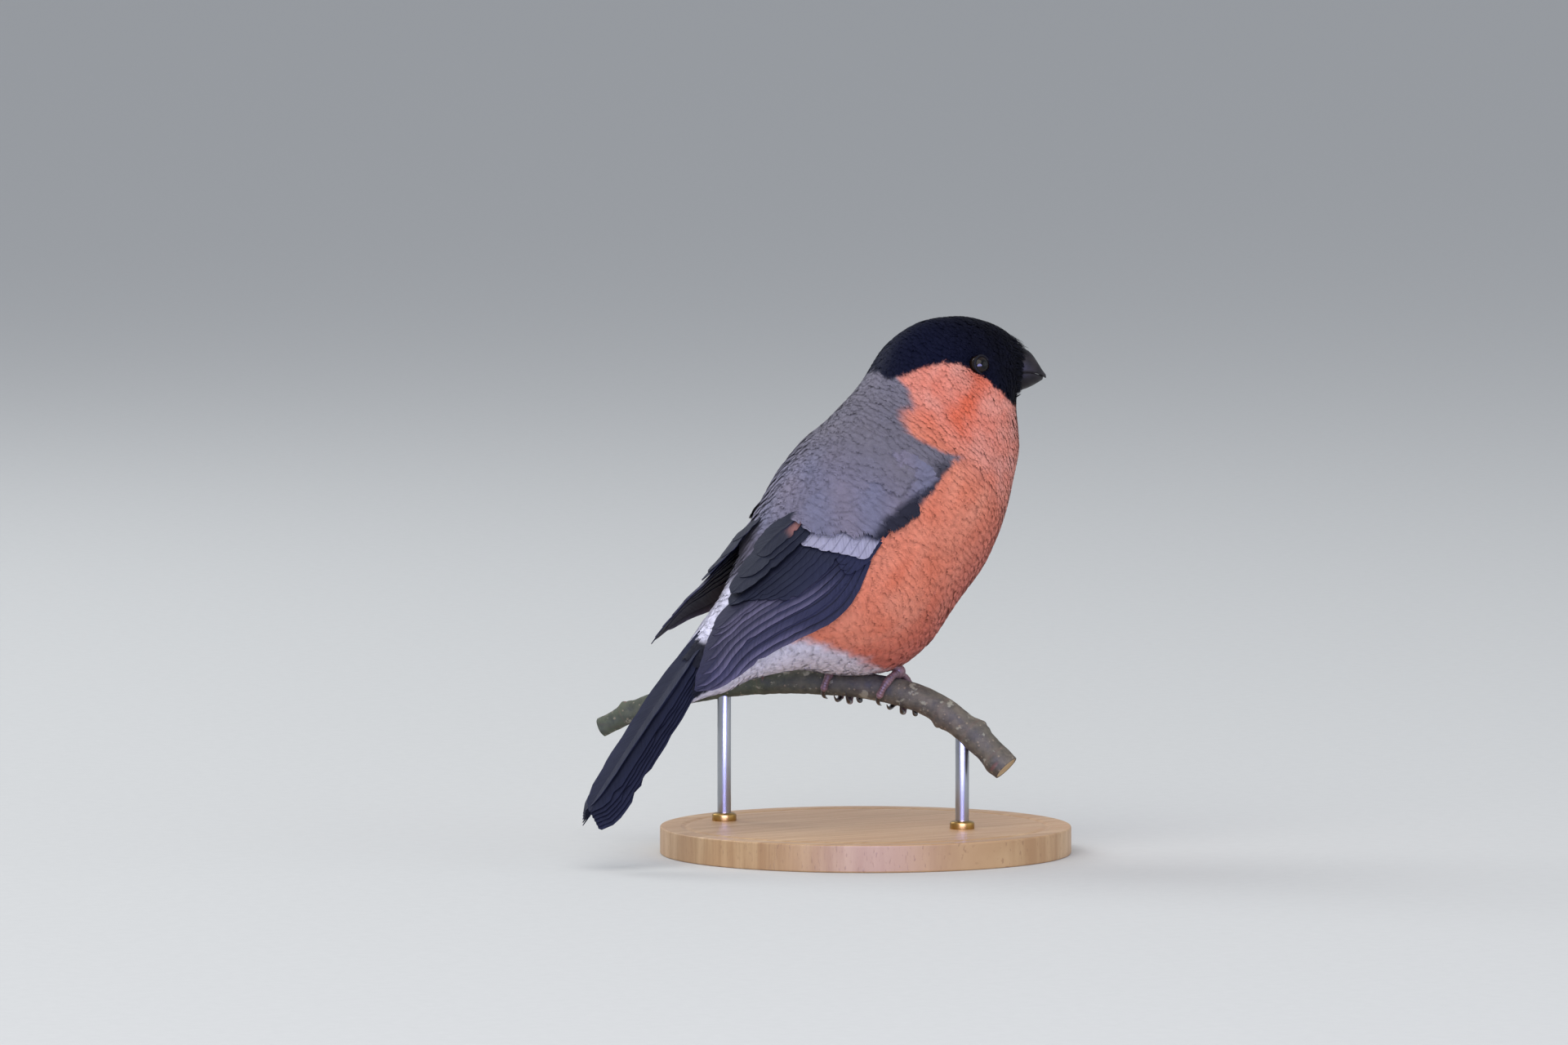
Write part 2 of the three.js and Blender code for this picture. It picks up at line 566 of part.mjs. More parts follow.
function shank(foot, swell) {
  const frame = footFrame(foot);
  const heel = frame.centre.clone().add(vec(-SHANK.back, foot.side * SHANK.out, SHANK.rise));
  const sole = gripPoint(frame, 0, PALM.height, 0, 1);
  const path = [0, 0.3, 0.6, 0.85, 1].map((share) => sole.clone().lerp(heel, share));
  heel.sub(sole).setLength(swell);
  path[path.length - 1].add(heel);
  return taperedPath(path, (share) => SHANK.radius + SHANK.heel * share ** 2 + swell, 8);
}

const makeLeg = (foot) => shank(foot, 0).subtract(palm(footFrame(foot), GAP));

function makeTorso() {
  const sockets = Object.values(FEET).map((foot) => shank(foot, GAP));
  return torsoPlain.subtract(hollow).subtract(union(sockets));
}

// Stand: a round foot and two short rods up to the twig
const BASE = { radius: 45, height: 6, edge: 1.0 };
const RODS = { radius: 1.5, at: [-31, 21] };

function makeBase() {
  const floor = -PERCH_HEIGHT;
  const profile = [[0, 0], [BASE.radius - 0.4, 0], [BASE.radius, 0.4], [BASE.radius, BASE.height - BASE.edge],
    [BASE.radius - BASE.edge, BASE.height], [0, BASE.height]].map(([r, z]) => new THREE.Vector2(r, z));
  return toSolid(new THREE.LatheGeometry(profile, 48).rotateX(Math.PI / 2).translate(0, 0, floor));
}

function makeRod(u) {
  const bottom = -PERCH_HEIGHT + BASE.height + GAP;
  const top = 1;
  const rod = new THREE.CylinderGeometry(RODS.radius, RODS.radius, top - bottom, 16).rotateX(Math.PI / 2);
  rod.translate(twigAxis.x * u, twigAxis.y * u, (top + bottom) / 2);
  return toSolid(rod).subtract(twigGrown);
}

// The scene graph: one named mesh for each sub-part
const bird = new THREE.Group();

function add(name, solid, colour, roughness = 0.85, metalness = 0) {
  const material = new THREE.MeshStandardMaterial({ color: colour, roughness, metalness });
  const mesh = new THREE.Mesh(toGeometry(solid), material);
  mesh.name = name;
  bird.add(mesh);
}

add('head', makeHead(), COLOURS.cap);
add('neck', makeNeck(), COLOURS.cheek);
add('torso', makeTorso(), COLOURS.breast);
add('bill_upper', makeBillUpper(), COLOURS.bill, 0.4);
add('bill_lower', makeBillLower(), COLOURS.bill, 0.4);
add('eye_left', makeEye(1), COLOURS.eye, 0.1);
add('eye_right', makeEye(-1), COLOURS.eye, 0.1);
add('tail', makeTail(), COLOURS.tail, 0.6);
add('wing_left', makeWing('left'), COLOURS.wing, 0.6);
add('wing_right', makeWing('right'), COLOURS.wing, 0.6);
for (const [name, foot] of Object.entries(FEET)) {
  add(`leg_${name}`, makeLeg(foot), COLOURS.leg, 0.6);
  add(`foot_${name}`, makeFoot(foot), COLOURS.leg, 0.6);
  for (const toe of TOES) add(`claw_${name}_${toe.name}`, makeClaw(foot, toe), COLOURS.claw, 0.4);
}
add('perch_twig', makeTwig(), COLOURS.twig);
add('stand_base', makeBase(), COLOURS.stand, 0.5);
RODS.at.forEach((u, i) => add(`stand_rod_${i + 1}`, makeRod(u), COLOURS.rod, 0.35, 0.9));

bird.position.z = PERCH_HEIGHT;
export default bird;
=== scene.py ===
import math

import bpy
import numpy as np
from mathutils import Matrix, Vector, noise


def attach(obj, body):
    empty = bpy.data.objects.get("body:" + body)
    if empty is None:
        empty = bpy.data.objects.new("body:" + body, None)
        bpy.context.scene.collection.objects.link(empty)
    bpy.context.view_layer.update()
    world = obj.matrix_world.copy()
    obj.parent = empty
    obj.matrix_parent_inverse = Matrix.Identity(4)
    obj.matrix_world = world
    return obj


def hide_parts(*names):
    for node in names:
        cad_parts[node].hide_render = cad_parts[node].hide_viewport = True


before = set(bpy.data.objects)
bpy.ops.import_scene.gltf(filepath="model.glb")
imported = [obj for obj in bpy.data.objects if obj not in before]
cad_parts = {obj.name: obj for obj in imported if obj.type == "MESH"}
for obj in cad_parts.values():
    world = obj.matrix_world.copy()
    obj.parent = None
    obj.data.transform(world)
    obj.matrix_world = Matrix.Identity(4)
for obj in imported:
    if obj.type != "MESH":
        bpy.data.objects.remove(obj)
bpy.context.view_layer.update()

# The stand's foot is a disc of pale beech, turned on a lathe and oiled. Its edge is eased and a shallow
# bead runs round the top. It lies on the table and carries both rods in drilled holes.
MM = 0.001
BASE_RADIUS = 45 * MM
BASE_HEIGHT = 6 * MM
BEAD_INSET = 4.5 * MM
BEAD_WIDTH = 0.9 * MM
BEAD_DEPTH = 0.45 * MM
BASE_EASING = 0.35 * MM
BASE_EASING_ANGLE = 15
EASING_STEPS = 3
BASE_SIDES = 160


def colour(red, green, blue):
    """A colour given as 0 to 255 on a screen, as the light that it reflects."""
    shares = [c / 255 for c in (red, green, blue)]
    return tuple(s / 12.92 if s <= 0.04045 else ((s + 0.055) / 1.055) ** 2.4 for s in shares)


class Wire:
    """A value in a material, which can be used in plain arithmetic."""

    def __init__(self, tree, socket=None):
        self.tree = tree
        self.socket = socket

    def node(self, kind, settings=None, links=None, output=0):
        made = self.tree.nodes.new("ShaderNode" + kind)
        for name, value in (settings or {}).items():
            setattr(made, name, value)
        for name, value in (links or {}).items():
            if isinstance(value, Wire):
                self.tree.links.new(value.socket, made.inputs[name])
            elif isinstance(value, tuple) and len(value) == 3 and made.inputs[name].type == "RGBA":
                made.inputs[name].default_value = (*value, 1)
            else:
                made.inputs[name].default_value = value
        return Wire(self.tree, made.outputs[output] if made.outputs else None)

    def maths(self, operation, *values):
        return self.node("Math", {"operation": operation}, dict(enumerate(values)))

    def __add__(self, other):
        return self.maths("ADD", self, other)

    def __sub__(self, other):
        return self.maths("SUBTRACT", self, other)

    def __mul__(self, other):
        return self.maths("MULTIPLY", self, other)

    def __rsub__(self, other):
        return self.maths("SUBTRACT", other, self)

    __radd__ = __add__

    def between(self, low, high):
        """0 below low and 1 above high, with a smooth step between them."""
        links = {"Value": self, "From Min": low, "From Max": high}
        return self.node("MapRange", {"interpolation_type": "SMOOTHSTEP"}, links)

    def blend(self, first, second):
        """The first colour where this value is 0 and the second where it is 1."""
        return self.node("Mix", {"data_type": "RGBA"}, {0: self, 6: first, 7: second}, 2)

    def attribute(self, name, output="Color"):
        return self.node("Attribute", {"attribute_name": name}, output=output)

    def stretched(self, scale, turn=(0, 0, 0)):
        """Object coordinates divided by a size in millimetres, or by one for each axis."""
        place = self.node("TexCoord", output="Object")
        size = tuple(1 / (s * MM) for s in np.broadcast_to(scale, 3))
        return self.node("Mapping", {}, {"Vector": place, "Rotation": turn, "Scale": size})

    def cloud(self, scale, detail=3.0, rough=0.5, turn=(0, 0, 0)):
        links = {"Vector": self.stretched(scale, turn), "Scale": 1.0, "Detail": detail, "Roughness": rough}
        return self.node("TexNoise", {}, links)

    def relief(self, height, depth, strength=1.0):
        """A normal bumped by a height of 0 to 1, which stands for a depth in millimetres."""
        return self.node("Bump", {}, {"Height": height, "Distance": depth * MM, "Strength": strength})


def finish(name, recipe, **settings):
    """A material: the recipe gives the links of its shader, and the settings its fixed values."""
    material = bpy.data.materials.new(name)
    material.use_nodes = True
    tree = material.node_tree
    tree.nodes.clear()
    links = {key.replace("_", " ").title().replace("Ior", "IOR"): value for key, value in settings.items()}
    links.update(recipe(Wire(tree)))
    shader = Wire(tree).node("BsdfPrincipled", {}, links)
    Wire(tree).node("OutputMaterial", {}, {"Surface": shader})
    return material


def nothing_selected():
    if bpy.context.object and bpy.context.object.mode == "EDIT":
        bpy.ops.object.mode_set(mode="OBJECT")
    bpy.ops.object.select_all(action="DESELECT")


def pick(*pieces):
    """Selects these pieces alone, with the first one active."""
    nothing_selected()
    for piece in pieces:
        piece.select_set(True)
    bpy.context.view_layer.objects.active = pieces[0]


def round_bar(sides, radius, height, x, y, z):
    """A round bar or disc in metres, with its foot at a point."""
    nothing_selected()
    bpy.ops.mesh.primitive_cylinder_add(
        vertices=sides, radius=radius, depth=height, location=(x, y, z + height / 2))
    return bpy.context.object


def edit_faces(piece, test):
    """Opens a piece in edit mode with the faces that pass the test selected."""
    pick(piece)
    bpy.ops.object.mode_set(mode="EDIT")
    bpy.ops.mesh.select_all(action="DESELECT")
    bpy.ops.mesh.select_mode(type="FACE")
    bpy.ops.object.mode_set(mode="OBJECT")
    for face in piece.data.polygons:
        face.select = test(face)
    bpy.ops.object.mode_set(mode="EDIT")


def ease_edges(piece, width, angle=40):
    """Rounds the sharp edges of a piece and shades it smooth."""
    rounding = piece.modifiers.new("eased", "BEVEL")
    rounding.width = width
    rounding.segments = EASING_STEPS
    rounding.angle_limit = math.radians(angle)
    pick(piece)
    bpy.ops.object.modifier_apply(modifier=rounding.name)
    bpy.ops.object.shade_smooth_by_angle(angle=math.radians(angle))


def settle(piece, name, material, slot, *nodes):
    """Names a finished piece, puts its place into its mesh and fixes it to the model for its nodes."""
    pick(piece)
    bpy.ops.object.transform_apply(location=True, rotation=True, scale=True)
    piece.name = name
    piece.data.name = name
    piece.data.materials.clear()
    piece.data.materials.append(material)
    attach(piece, "root")
    if nodes:
        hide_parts(*nodes)


def oiled_beech(wire):
    grain = wire.cloud((34, 2.2, 34), 5.0, 0.6)
    rings = wire.cloud((60, 7, 60), 2.0)
    flecks = wire.cloud((1.6, 0.22, 1.6), 2.0).between(0.6, 0.72)
    wood = grain.between(0.3, 0.7).blend(colour(205, 170, 128), colour(176, 136, 94))
    wood = rings.between(0.35, 0.75).blend(wood, colour(190, 150, 108))
    wood = (flecks * 0.45).blend(wood, colour(140, 98, 62))
    return {
        "Base Color": wood,
        "Roughness": 0.42 + grain * 0.16,
        "Normal": wire.relief(grain * 0.6 + flecks * 0.4, 0.08, 0.6),
    }


def faces_up(face):
    return face.normal.z > 0.9


base = round_bar(BASE_SIDES, BASE_RADIUS, BASE_HEIGHT, 0, 0, 0)
edit_faces(base, faces_up)
for width, depth in ((BEAD_INSET, 0), (BEAD_WIDTH, -BEAD_DEPTH), (BEAD_WIDTH, BEAD_DEPTH), (BEAD_INSET, 0)):
    bpy.ops.mesh.inset(thickness=width, depth=depth)
nothing_selected()
ease_edges(base, BASE_EASING, BASE_EASING_ANGLE)
settle(base, "turned_base", finish("oiled beech", oiled_beech, coat_weight=0.15, coat_roughness=0.3),
       "stand_wood", "stand_base")

# The perch is a length of shrub twig, cut at both ends and bent downwards on the right. Its green and
# brown bark is smooth, with raised leaf scars, small corky pores and pale spots of lichen.
PERCH_HEIGHT = 37.0
VIEW_YAW = math.radians(35)
TWIG_TURN = math.radians(20)
TWIG_LINE = [(-58, -11.3), (-46.4, -5.5), (-34, -2.2), (-21.4, -0.3), (-8.6, 0.1), (0.4, -0.4), (10.4, -2.4),
             (15.5, -4.6), (20.5, -8.1), (26, -12.8), (30.5, -17.3)]
TWIG_SCARS = (-52, -43, -31.5, -22, 17.5, 23.5, 29)
SCAR_TURN = 2.4
BARK_BUMPS = ((0.09, 1.7, 1, 0), (0.05, 0.6, 1, 9), (0.1, 4.5, 0.6, 5))
TWIG_LEFT = 2.15
TWIG_RIGHT = 3.0
TWIG_SIDES = 48
TWIG_RINGS = 300
CUT_STEPS = ((1.0, 0.1), (0.9, 0.12), (0.84, 0.0), (0.5, -0.03), (0.14, -0.08))
UP = np.array([0.0, 0.0, 1.0])


def unit(vectors):
    return vectors / np.maximum(np.linalg.norm(vectors, axis=-1, keepdims=True), 1e-9)


def smooth_step(value, low, high):
    share = np.clip((value - low) / (high - low), 0, 1)
    return share * share * (3 - 2 * share)


def within(value, start, full, fading, end):
    """1 between full and fading, with a smooth step from 0 at the start and back to 0 at the end."""
    return smooth_step(value, start, full) * (1 - smooth_step(value, fading, end))


def through(knots, at):
    """A smooth curve through the knots, read at 0 for the first and 1 more for each that follows."""
    knots = np.asarray(knots, float)
    at = np.clip(np.asarray(at, float), 0, len(knots) - 1)
    start = np.minimum(at.astype(int), len(knots) - 2)
    share = (at - start)[..., None]
    ends = np.vstack([2 * knots[:1] - knots[1:2], knots, 2 * knots[-1:] - knots[-2:-1]])
    a, b, c, d = (ends[start + k] for k in range(4))
    ab, bc, cd = (np.sqrt(np.linalg.norm(q - p, axis=-1, keepdims=True)) for p, q in ((a, b), (b, c), (c, d)))
    leave = ((b - a) / ab - (c - a) / (ab + bc) + (c - b) / bc) * bc
    arrive = ((c - b) / bc - (d - b) / (bc + cd) + (d - c) / cd) * bc
    square = 3 * (c - b) - 2 * leave - arrive
    cube = 2 * (b - c) + leave + arrive
    return b + leave * share + square * share ** 2 + cube * share ** 3


twig_axis = np.array([
    math.cos(VIEW_YAW) - math.tan(TWIG_TURN) * math.sin(VIEW_YAW),
    -math.sin(VIEW_YAW) - math.tan(TWIG_TURN) * math.cos(VIEW_YAW),
    0.0,
])
twig_knots = [twig_axis * u + UP * (z + PERCH_HEIGHT) for u, z in TWIG_LINE]
TWIG_READINGS = 2000
twig_fine = through(twig_knots, np.linspace(0, len(TWIG_LINE) - 1, TWIG_READINGS))
twig_run = np.concatenate([[0], np.cumsum(np.linalg.norm(np.diff(twig_fine, axis=0), axis=1))])


def twig_frame(share):
    """The twig's middle, its direction and the two directions across it, at shares of its length."""
    lengths = np.asarray(share, float) * twig_run[-1]
    centre = np.stack([np.interp(lengths, twig_run, twig_fine[:, k]) for k in range(3)], -1)
    slopes = np.gradient(twig_fine, axis=0)
    along = unit(np.stack([np.interp(lengths, twig_run, slopes[:, k]) for k in range(3)], -1))
    across = unit(np.cross(along, UP))
    return centre, along, across, np.cross(across, along)


def twig_place(centre):
    """How far along the level line under the twig a point lies, in millimetres from the feet."""
    return centre @ twig_axis / (twig_axis @ twig_axis)


def twig_radius(share):
    return TWIG_LEFT + (TWIG_RIGHT - TWIG_LEFT) * smooth_step(share, 0.1, 0.8)


def spoke_fan(across, up, turns):
    """The ways out of a line of points: for each point, one way for each turn from its upper side."""
    return across[:, None] * np.sin(turns)[None, :, None] + up[:, None] * np.cos(turns)[None, :, None]


def tube_faces(rows, sides):
    """The faces between closed rings of points that are counted ring by ring."""
    row, side = np.meshgrid(np.arange(rows - 1), np.arange(sides), indexing="ij")
    here = (row * sides + side).ravel()
    beside = (row * sides + (side + 1) % sides).ravel()
    return np.stack([here, beside, beside + sides, here + sides], 1).tolist()


def in_scene(name, data):
    """An object that shows a mesh, a lamp or a camera."""
    made = bpy.data.objects.new(name, data)
    bpy.context.scene.collection.objects.link(made)
    return made


def paint_points(mesh, layer, values):
    """Gives each point of a mesh the one or three numbers that its material reads."""
    kind, key = ("FLOAT_VECTOR", "vector") if values.shape[-1] == 3 else ("FLOAT", "value")
    mesh.attributes.new(layer, kind, "POINT").data.foreach_set(key, values.astype(np.float32).ravel())


def faced_outwards(name, mesh):
    """A piece made of a closed mesh, with all its faces turned outwards."""
    piece = in_scene(name, mesh)
    edit_faces(piece, lambda face: True)
    bpy.ops.mesh.normals_make_consistent(inside=False)
    bpy.ops.object.mode_set(mode="OBJECT")
    return piece


def lofted(name, rings, **layers):
    """A closed skin through rings of points in millimetres, with a point in the middle of each end."""
    rows, sides = rings.shape[:2]
    points = np.vstack([rings.reshape(-1, 3), rings[0].mean(0), rings[-1].mean(0)]) * MM
    loop = np.arange(sides)
    after = (loop + 1) % sides
    last_row = (rows - 1) * sides
    first = np.stack([np.full(sides, rows * sides), after, loop], 1)
    last = np.stack([np.full(sides, rows * sides + 1), last_row + loop, last_row + after], 1)
    mesh = bpy.data.meshes.new(name)
    mesh.from_pydata(points.tolist(), [], tube_faces(rows, sides) + first.tolist() + last.tolist())
    for layer, values in layers.items():
        ends = [values[0].mean(0), values[-1].mean(0)]
        paint_points(mesh, layer, np.vstack([values.reshape(-1, values.shape[-1]), *ends]))
    piece = faced_outwards(name, mesh)
    bpy.ops.object.shade_smooth()
    return piece


def bumps(points, size, seed=0.0):
    """Soft noise, from -1 to 1, at each of a list of points."""
    offset = Vector((seed, seed * 1.7, -seed))
    return np.array([noise.noise(Vector(p) / size + offset) for p in points])


def bark(wire):
    wear = wire.attribute("worn", "Fac")
    fine = wire.cloud(2.2, 5.0, 0.65)
    broad = wire.cloud((14, 14, 9))
    streaks = wire.cloud((5, 5, 0.9), 3.0, 0.6)
    spots = wire.cloud((3.0, 3.0, 2.2), 3.0, 0.55).between(0.6, 0.68)
    cells = wire.stretched(1.5)
    pores = wire.node("TexVoronoi", {"feature": "F1"}, {"Vector": cells, "Scale": 1.0})
    dots = 1 - pores.between(0.12, 0.22)
    east = wire.attribute("east", "Fac")
    green = fine.between(0.3, 0.7).blend(colour(54, 62, 46), colour(83, 90, 68))
    brown = fine.between(0.3, 0.7).blend(colour(76, 70, 58), colour(118, 108, 93))
    skin = (east.between(0.35, 0.75) * 0.75 + broad.between(0.45, 0.75) * 0.35).blend(green, brown)
    skin = (streaks.between(0.5, 0.75) * 0.5).blend(skin, colour(72, 62, 52))
    skin = (dots * 0.55).blend(skin, colour(158, 142, 120))
    skin = wear.between(0.35, 0.8).blend(skin, colour(116, 84, 76))
    skin = (spots * 0.7).blend(skin, colour(166, 164, 148))
    wood = wire.attribute("cut", "Fac")
    pale = fine.blend(colour(206, 186, 146), colour(170, 142, 102))
    return {
        "Base Color": wood.between(0.3, 0.7).blend(skin, pale),
        "Roughness": 0.62 + fine * 0.25,
        "Normal": wire.relief(fine * 0.5 + streaks * 0.4 + dots * 0.3 + spots * 0.5, 0.16, 0.8),
    }


twig_share = np.linspace(0, 1, TWIG_RINGS)
twig_middle, twig_along, twig_across, twig_up = twig_frame(twig_share)
twig_turns = np.linspace(0, 2 * math.pi, TWIG_SIDES, endpoint=False)
spokes = spoke_fan(twig_across, twig_up, twig_turns)
reach = np.repeat(twig_radius(twig_share)[:, None], TWIG_SIDES, 1)
worn = np.zeros_like(reach)
for number, scar in enumerate(TWIG_SCARS):
    gap = twig_place(twig_middle) - scar
    facing = np.maximum(0, np.cos(twig_turns - number * SCAR_TURN))[None] ** 2
    knuckle = np.exp(-(gap / 1.3) ** 2)[:, None]
    rim = np.exp(-((gap - 0.5) / 0.35) ** 2)[:, None] * facing ** 3
    reach += knuckle * (0.85 * facing + 0.12) - 0.32 * rim
    worn += rim + 0.5 * np.exp(-((gap + 0.9) / 0.5) ** 2)[:, None]
rough_places = (twig_middle[:, None] + spokes * reach[..., None]).reshape(-1, 3)
for depth, size, squeeze, seed in BARK_BUMPS:
    reach += depth * bumps(rough_places * (1, 1, squeeze), size, seed).reshape(reach.shape)
twig_rings = twig_middle[:, None] + spokes * reach[..., None]


def cut_end(end, outwards):
    """The rings of a cut end, from the bark to its middle."""
    middle, spread = twig_middle[end], twig_rings[end] - twig_middle[end]
    return np.array([middle + spread * size + twig_along[end] * outwards * out for size, out in CUT_STEPS])


def on_rings(start, between, stop):
    """A number for each ring of the twig and its two cut ends, given to all points of the ring."""
    rows = np.concatenate([start, between, stop])
    return np.repeat(rows[:, None], TWIG_SIDES, 1)[..., None]


cut_marks = [float(size < 0.88) for size, _ in CUT_STEPS]
uncut = np.zeros((len(CUT_STEPS), TWIG_SIDES))
twig = lofted("twig", np.concatenate([cut_end(0, -1)[::-1], twig_rings, cut_end(-1, 1)]),
              cut=on_rings(cut_marks[::-1], np.zeros(TWIG_RINGS), cut_marks),
              worn=np.concatenate([uncut, worn, uncut])[..., None],
              east=on_rings(np.zeros(len(CUT_STEPS)), twig_share, np.ones(len(CUT_STEPS))))
settle(twig, "cut_twig", finish("bark", bark), "twig_bark", "perch_twig")

# Two short rods of bright steel hold the twig. Each is pressed into a hole in the disc through a small
# brass collar, and its rounded top is glued into the underside of the twig.
ROD_RADIUS = 1.5 * MM
ROD_PLACES = (-31, 21)
ROD_SINK = 1 * MM
ROD_EASING = 0.25 * MM
COLLAR_RADIUS = 2.7 * MM
COLLAR_HEIGHT = 1.5 * MM
COLLAR_SINK = 0.1 * MM
COLLAR_LIP = (0.6 * MM, 0.35 * MM)
COLLAR_EASING = 0.18 * MM


def brushed_steel(wire):
    lines = wire.cloud((0.5, 0.5, 30), 3.0, 0.6)
    smudge = wire.cloud((6, 6, 10))
    return {
        "Base Color": smudge.blend(colour(176, 179, 183), colour(150, 153, 158)),
        "Roughness": 0.2 + lines * 0.18,
        "Normal": wire.relief(lines, 0.02, 0.4),
    }


def brass(wire):
    smudge = wire.cloud(2)
    metal = smudge.blend(colour(186, 152, 88), colour(150, 116, 60))
    return {"Base Color": metal, "Roughness": 0.22 + smudge * 0.2}


steel = finish("brushed steel", brushed_steel, metallic=1.0)
collar_brass = finish("collar brass", brass, metallic=1.0)
for number, level in enumerate(ROD_PLACES, 1):
    near = np.argmin(np.abs(twig_place(twig_fine) - level))
    top = twig_fine[near, 2] * MM
    x, y, _ = twig_axis * level * MM
    bottom = BASE_HEIGHT - ROD_SINK
    rod = round_bar(40, ROD_RADIUS, top - bottom, x, y, bottom)
    ease_edges(rod, ROD_EASING)
    settle(rod, f"steel_rod_{number}", steel, "stand_steel", f"stand_rod_{number}")
    collar = round_bar(48, COLLAR_RADIUS, COLLAR_HEIGHT, x, y, BASE_HEIGHT - COLLAR_SINK)
    edit_faces(collar, faces_up)
    bpy.ops.mesh.inset(thickness=COLLAR_LIP[0], depth=COLLAR_LIP[1])
    nothing_selected()
    ease_edges(collar, COLLAR_EASING)
    settle(collar, f"brass_collar_{number}", collar_brass, "stand_steel")

# The body under the feathers: one skin over head, neck and trunk, with the head turned to the bird's
# right. It is soft down and flesh, coloured as the feathers over it, and lies the coat's depth inside.
# Each station is x, z, pitch of the axis, half depth, half width and how much narrower the upper side is.
STATIONS = {
    "bill base": (37.0, 68.6, -6, 4.9, 4.7, 0.0),
    "lores": (35.9, 68.9, 6, 7.6, 7.2, 0.06),
    "brow": (33.6, 68.3, 17, 11.0, 9.4, 0.12),
    "eyes": (30.4, 66.8, 28, 14.9, 11.6, 0.2),
    "ears": (26.0, 63.8, 38, 18.4, 14.2, 0.27),
    "nape": (21.6, 58.8, 44, 20.3, 17.0, 0.25),
    "collar": (17.6, 51.6, 47, 21.2, 19.6, 0.15),
    "shoulders": (12.6, 44.8, 48, 23.0, 21.2, 0.05),
    "chest": (6.3, 37.9, 49, 24.6, 22.3, 0.0),
    "breast": (0.3, 31.3, 48, 24.5, 22.2, 0.0),
    "waist": (-5.2, 24.3, 47, 24.3, 21.4, 0.0),
    "belly": (-11.2, 18.6, 45, 22.4, 19.4, 0.0),
    "vent": (-18.8, 15.0, 43, 17.4, 16.4, 0.0),
    "rump": (-27.8, 12.5, 45, 11.9, 12.4, 0.0),
    "tail coverts": (-37.4, 8.3, 40, 7.7, 9.2, 0.0),
    "undertail": (-43.8, 3.0, 49, 5.6, 7.9, 0.0),
    "covert tips": (-48.8, -2.6, 54, 3.4, 7.3, 0.0),
}
LAST = len(STATIONS) - 1
HEAD_TURN = 25
HEAD_PIVOT_X = 22.0
TURN_FROM = 3.0
TURN_TO = 7.5
STATION_LENGTH = 7.4
REAR_FROM = 14.6
REAR_TO = 16.8
REAR_TAPER = 0.8
REAR_LIFT = 0.85
station_rows = np.array(list(STATIONS.values()))
body_line = station_rows[:, [0, 2, 1]]
body_girth = station_rows[:, 3:]


def turned(points, share):
    """Points swung with the head, all the way for a share of 1."""
    angle = -np.radians(HEAD_TURN) * share
    x = points[..., 0] - HEAD_PIVOT_X
    y = points[..., 1]
    swung = [x * np.cos(angle) - y * np.sin(angle) + HEAD_PIVOT_X, x * np.sin(angle) + y * np.cos(angle)]
    return np.stack([*swung, points[..., 2]], -1)


def body_point(t, angle, swell=0.0):
    """A point of the body's outer form at a station number and an angle from the back over the left side."""
    t, angle, swell = np.broadcast_arrays(np.asarray(t, float), angle, swell)
    middle = through(body_line, t)
    girth = through(body_girth, t)
    pitch = np.radians(middle[..., 1])
    narrow = 1 - REAR_TAPER * smooth_step(t, REAR_FROM, REAR_TO)
    side = (girth[..., 1] * (1 - girth[..., 2] * np.cos(angle)) + swell) * np.sin(angle) * narrow
    rise = (girth[..., 0] * narrow + swell) * np.cos(angle) + REAR_LIFT * (1 - narrow) * girth[..., 0]
    beyond = np.maximum(t - LAST, 0) * STATION_LENGTH
    x = middle[..., 0] - rise * np.sin(pitch) - beyond * np.cos(pitch)
    z = middle[..., 2] + rise * np.cos(pitch) - beyond * np.sin(pitch) + PERCH_HEIGHT
    return turned(np.stack([x, side, z], -1), 1 - smooth_step(t, TURN_FROM, TURN_TO))


def slopes(surface, a, b, steps):
    """The two directions on a surface for one unit of each coordinate, and the way out of it."""
    along = (surface(a + steps[0], b) - surface(a - steps[0], b)) / (2 * steps[0])
    around = (surface(a, b + steps[1]) - surface(a, b - steps[1])) / (2 * steps[1])
    return along, around, unit(np.cross(around, along))


BODY_STEPS = (0.03, 0.01)


def body_slopes(t, angle):
    return slopes(body_point, np.clip(t, 0.04, LAST - 0.04), angle, BODY_STEPS)


FEET = {"left": (-5.8, 1), "right": (6.4, -1)}
FOOT_REACH = (4.5, 8.0)
PERCH_ZONE = 8
BATCH = 20000
twig_probe = twig_fine[::12]
twig_probe_radius = twig_radius(twig_run[::12] / twig_run[-1])
foot_gaps = [np.abs(twig_place(twig_probe) - place) for place, _ in FEET.values()]
foot_nearness = 1 - smooth_step(np.min(foot_gaps, axis=0), *FOOT_REACH)


def clear_of_perch(points, margin, foot_margin):
    """Points that would lie in the twig or the toes are moved straight out of them."""
    flat = points.reshape(-1, 3).copy()
    near = np.where(flat[:, 2] < PERCH_HEIGHT + PERCH_ZONE)[0]
    for start in range(0, len(near), BATCH):
        chosen = near[start:start + BATCH]
        nearest = np.argmin(np.linalg.norm(flat[chosen, None] - twig_probe[None], axis=-1), axis=1)
        away = flat[chosen] - twig_probe[nearest]
        gap = np.linalg.norm(away, axis=-1, keepdims=True)
        outwards = away / np.maximum(gap, 1e-6)
        hold = foot_nearness[nearest] * np.clip(outwards[:, 2] + 0.4, 0, 1)
        wanted = (twig_probe_radius[nearest] + margin + (foot_margin - margin) * hold)[:, None]
        flat[chosen] = np.where(gap < wanted, twig_probe[nearest] + outwards * wanted, flat[chosen])
    return flat.reshape(points.shape)


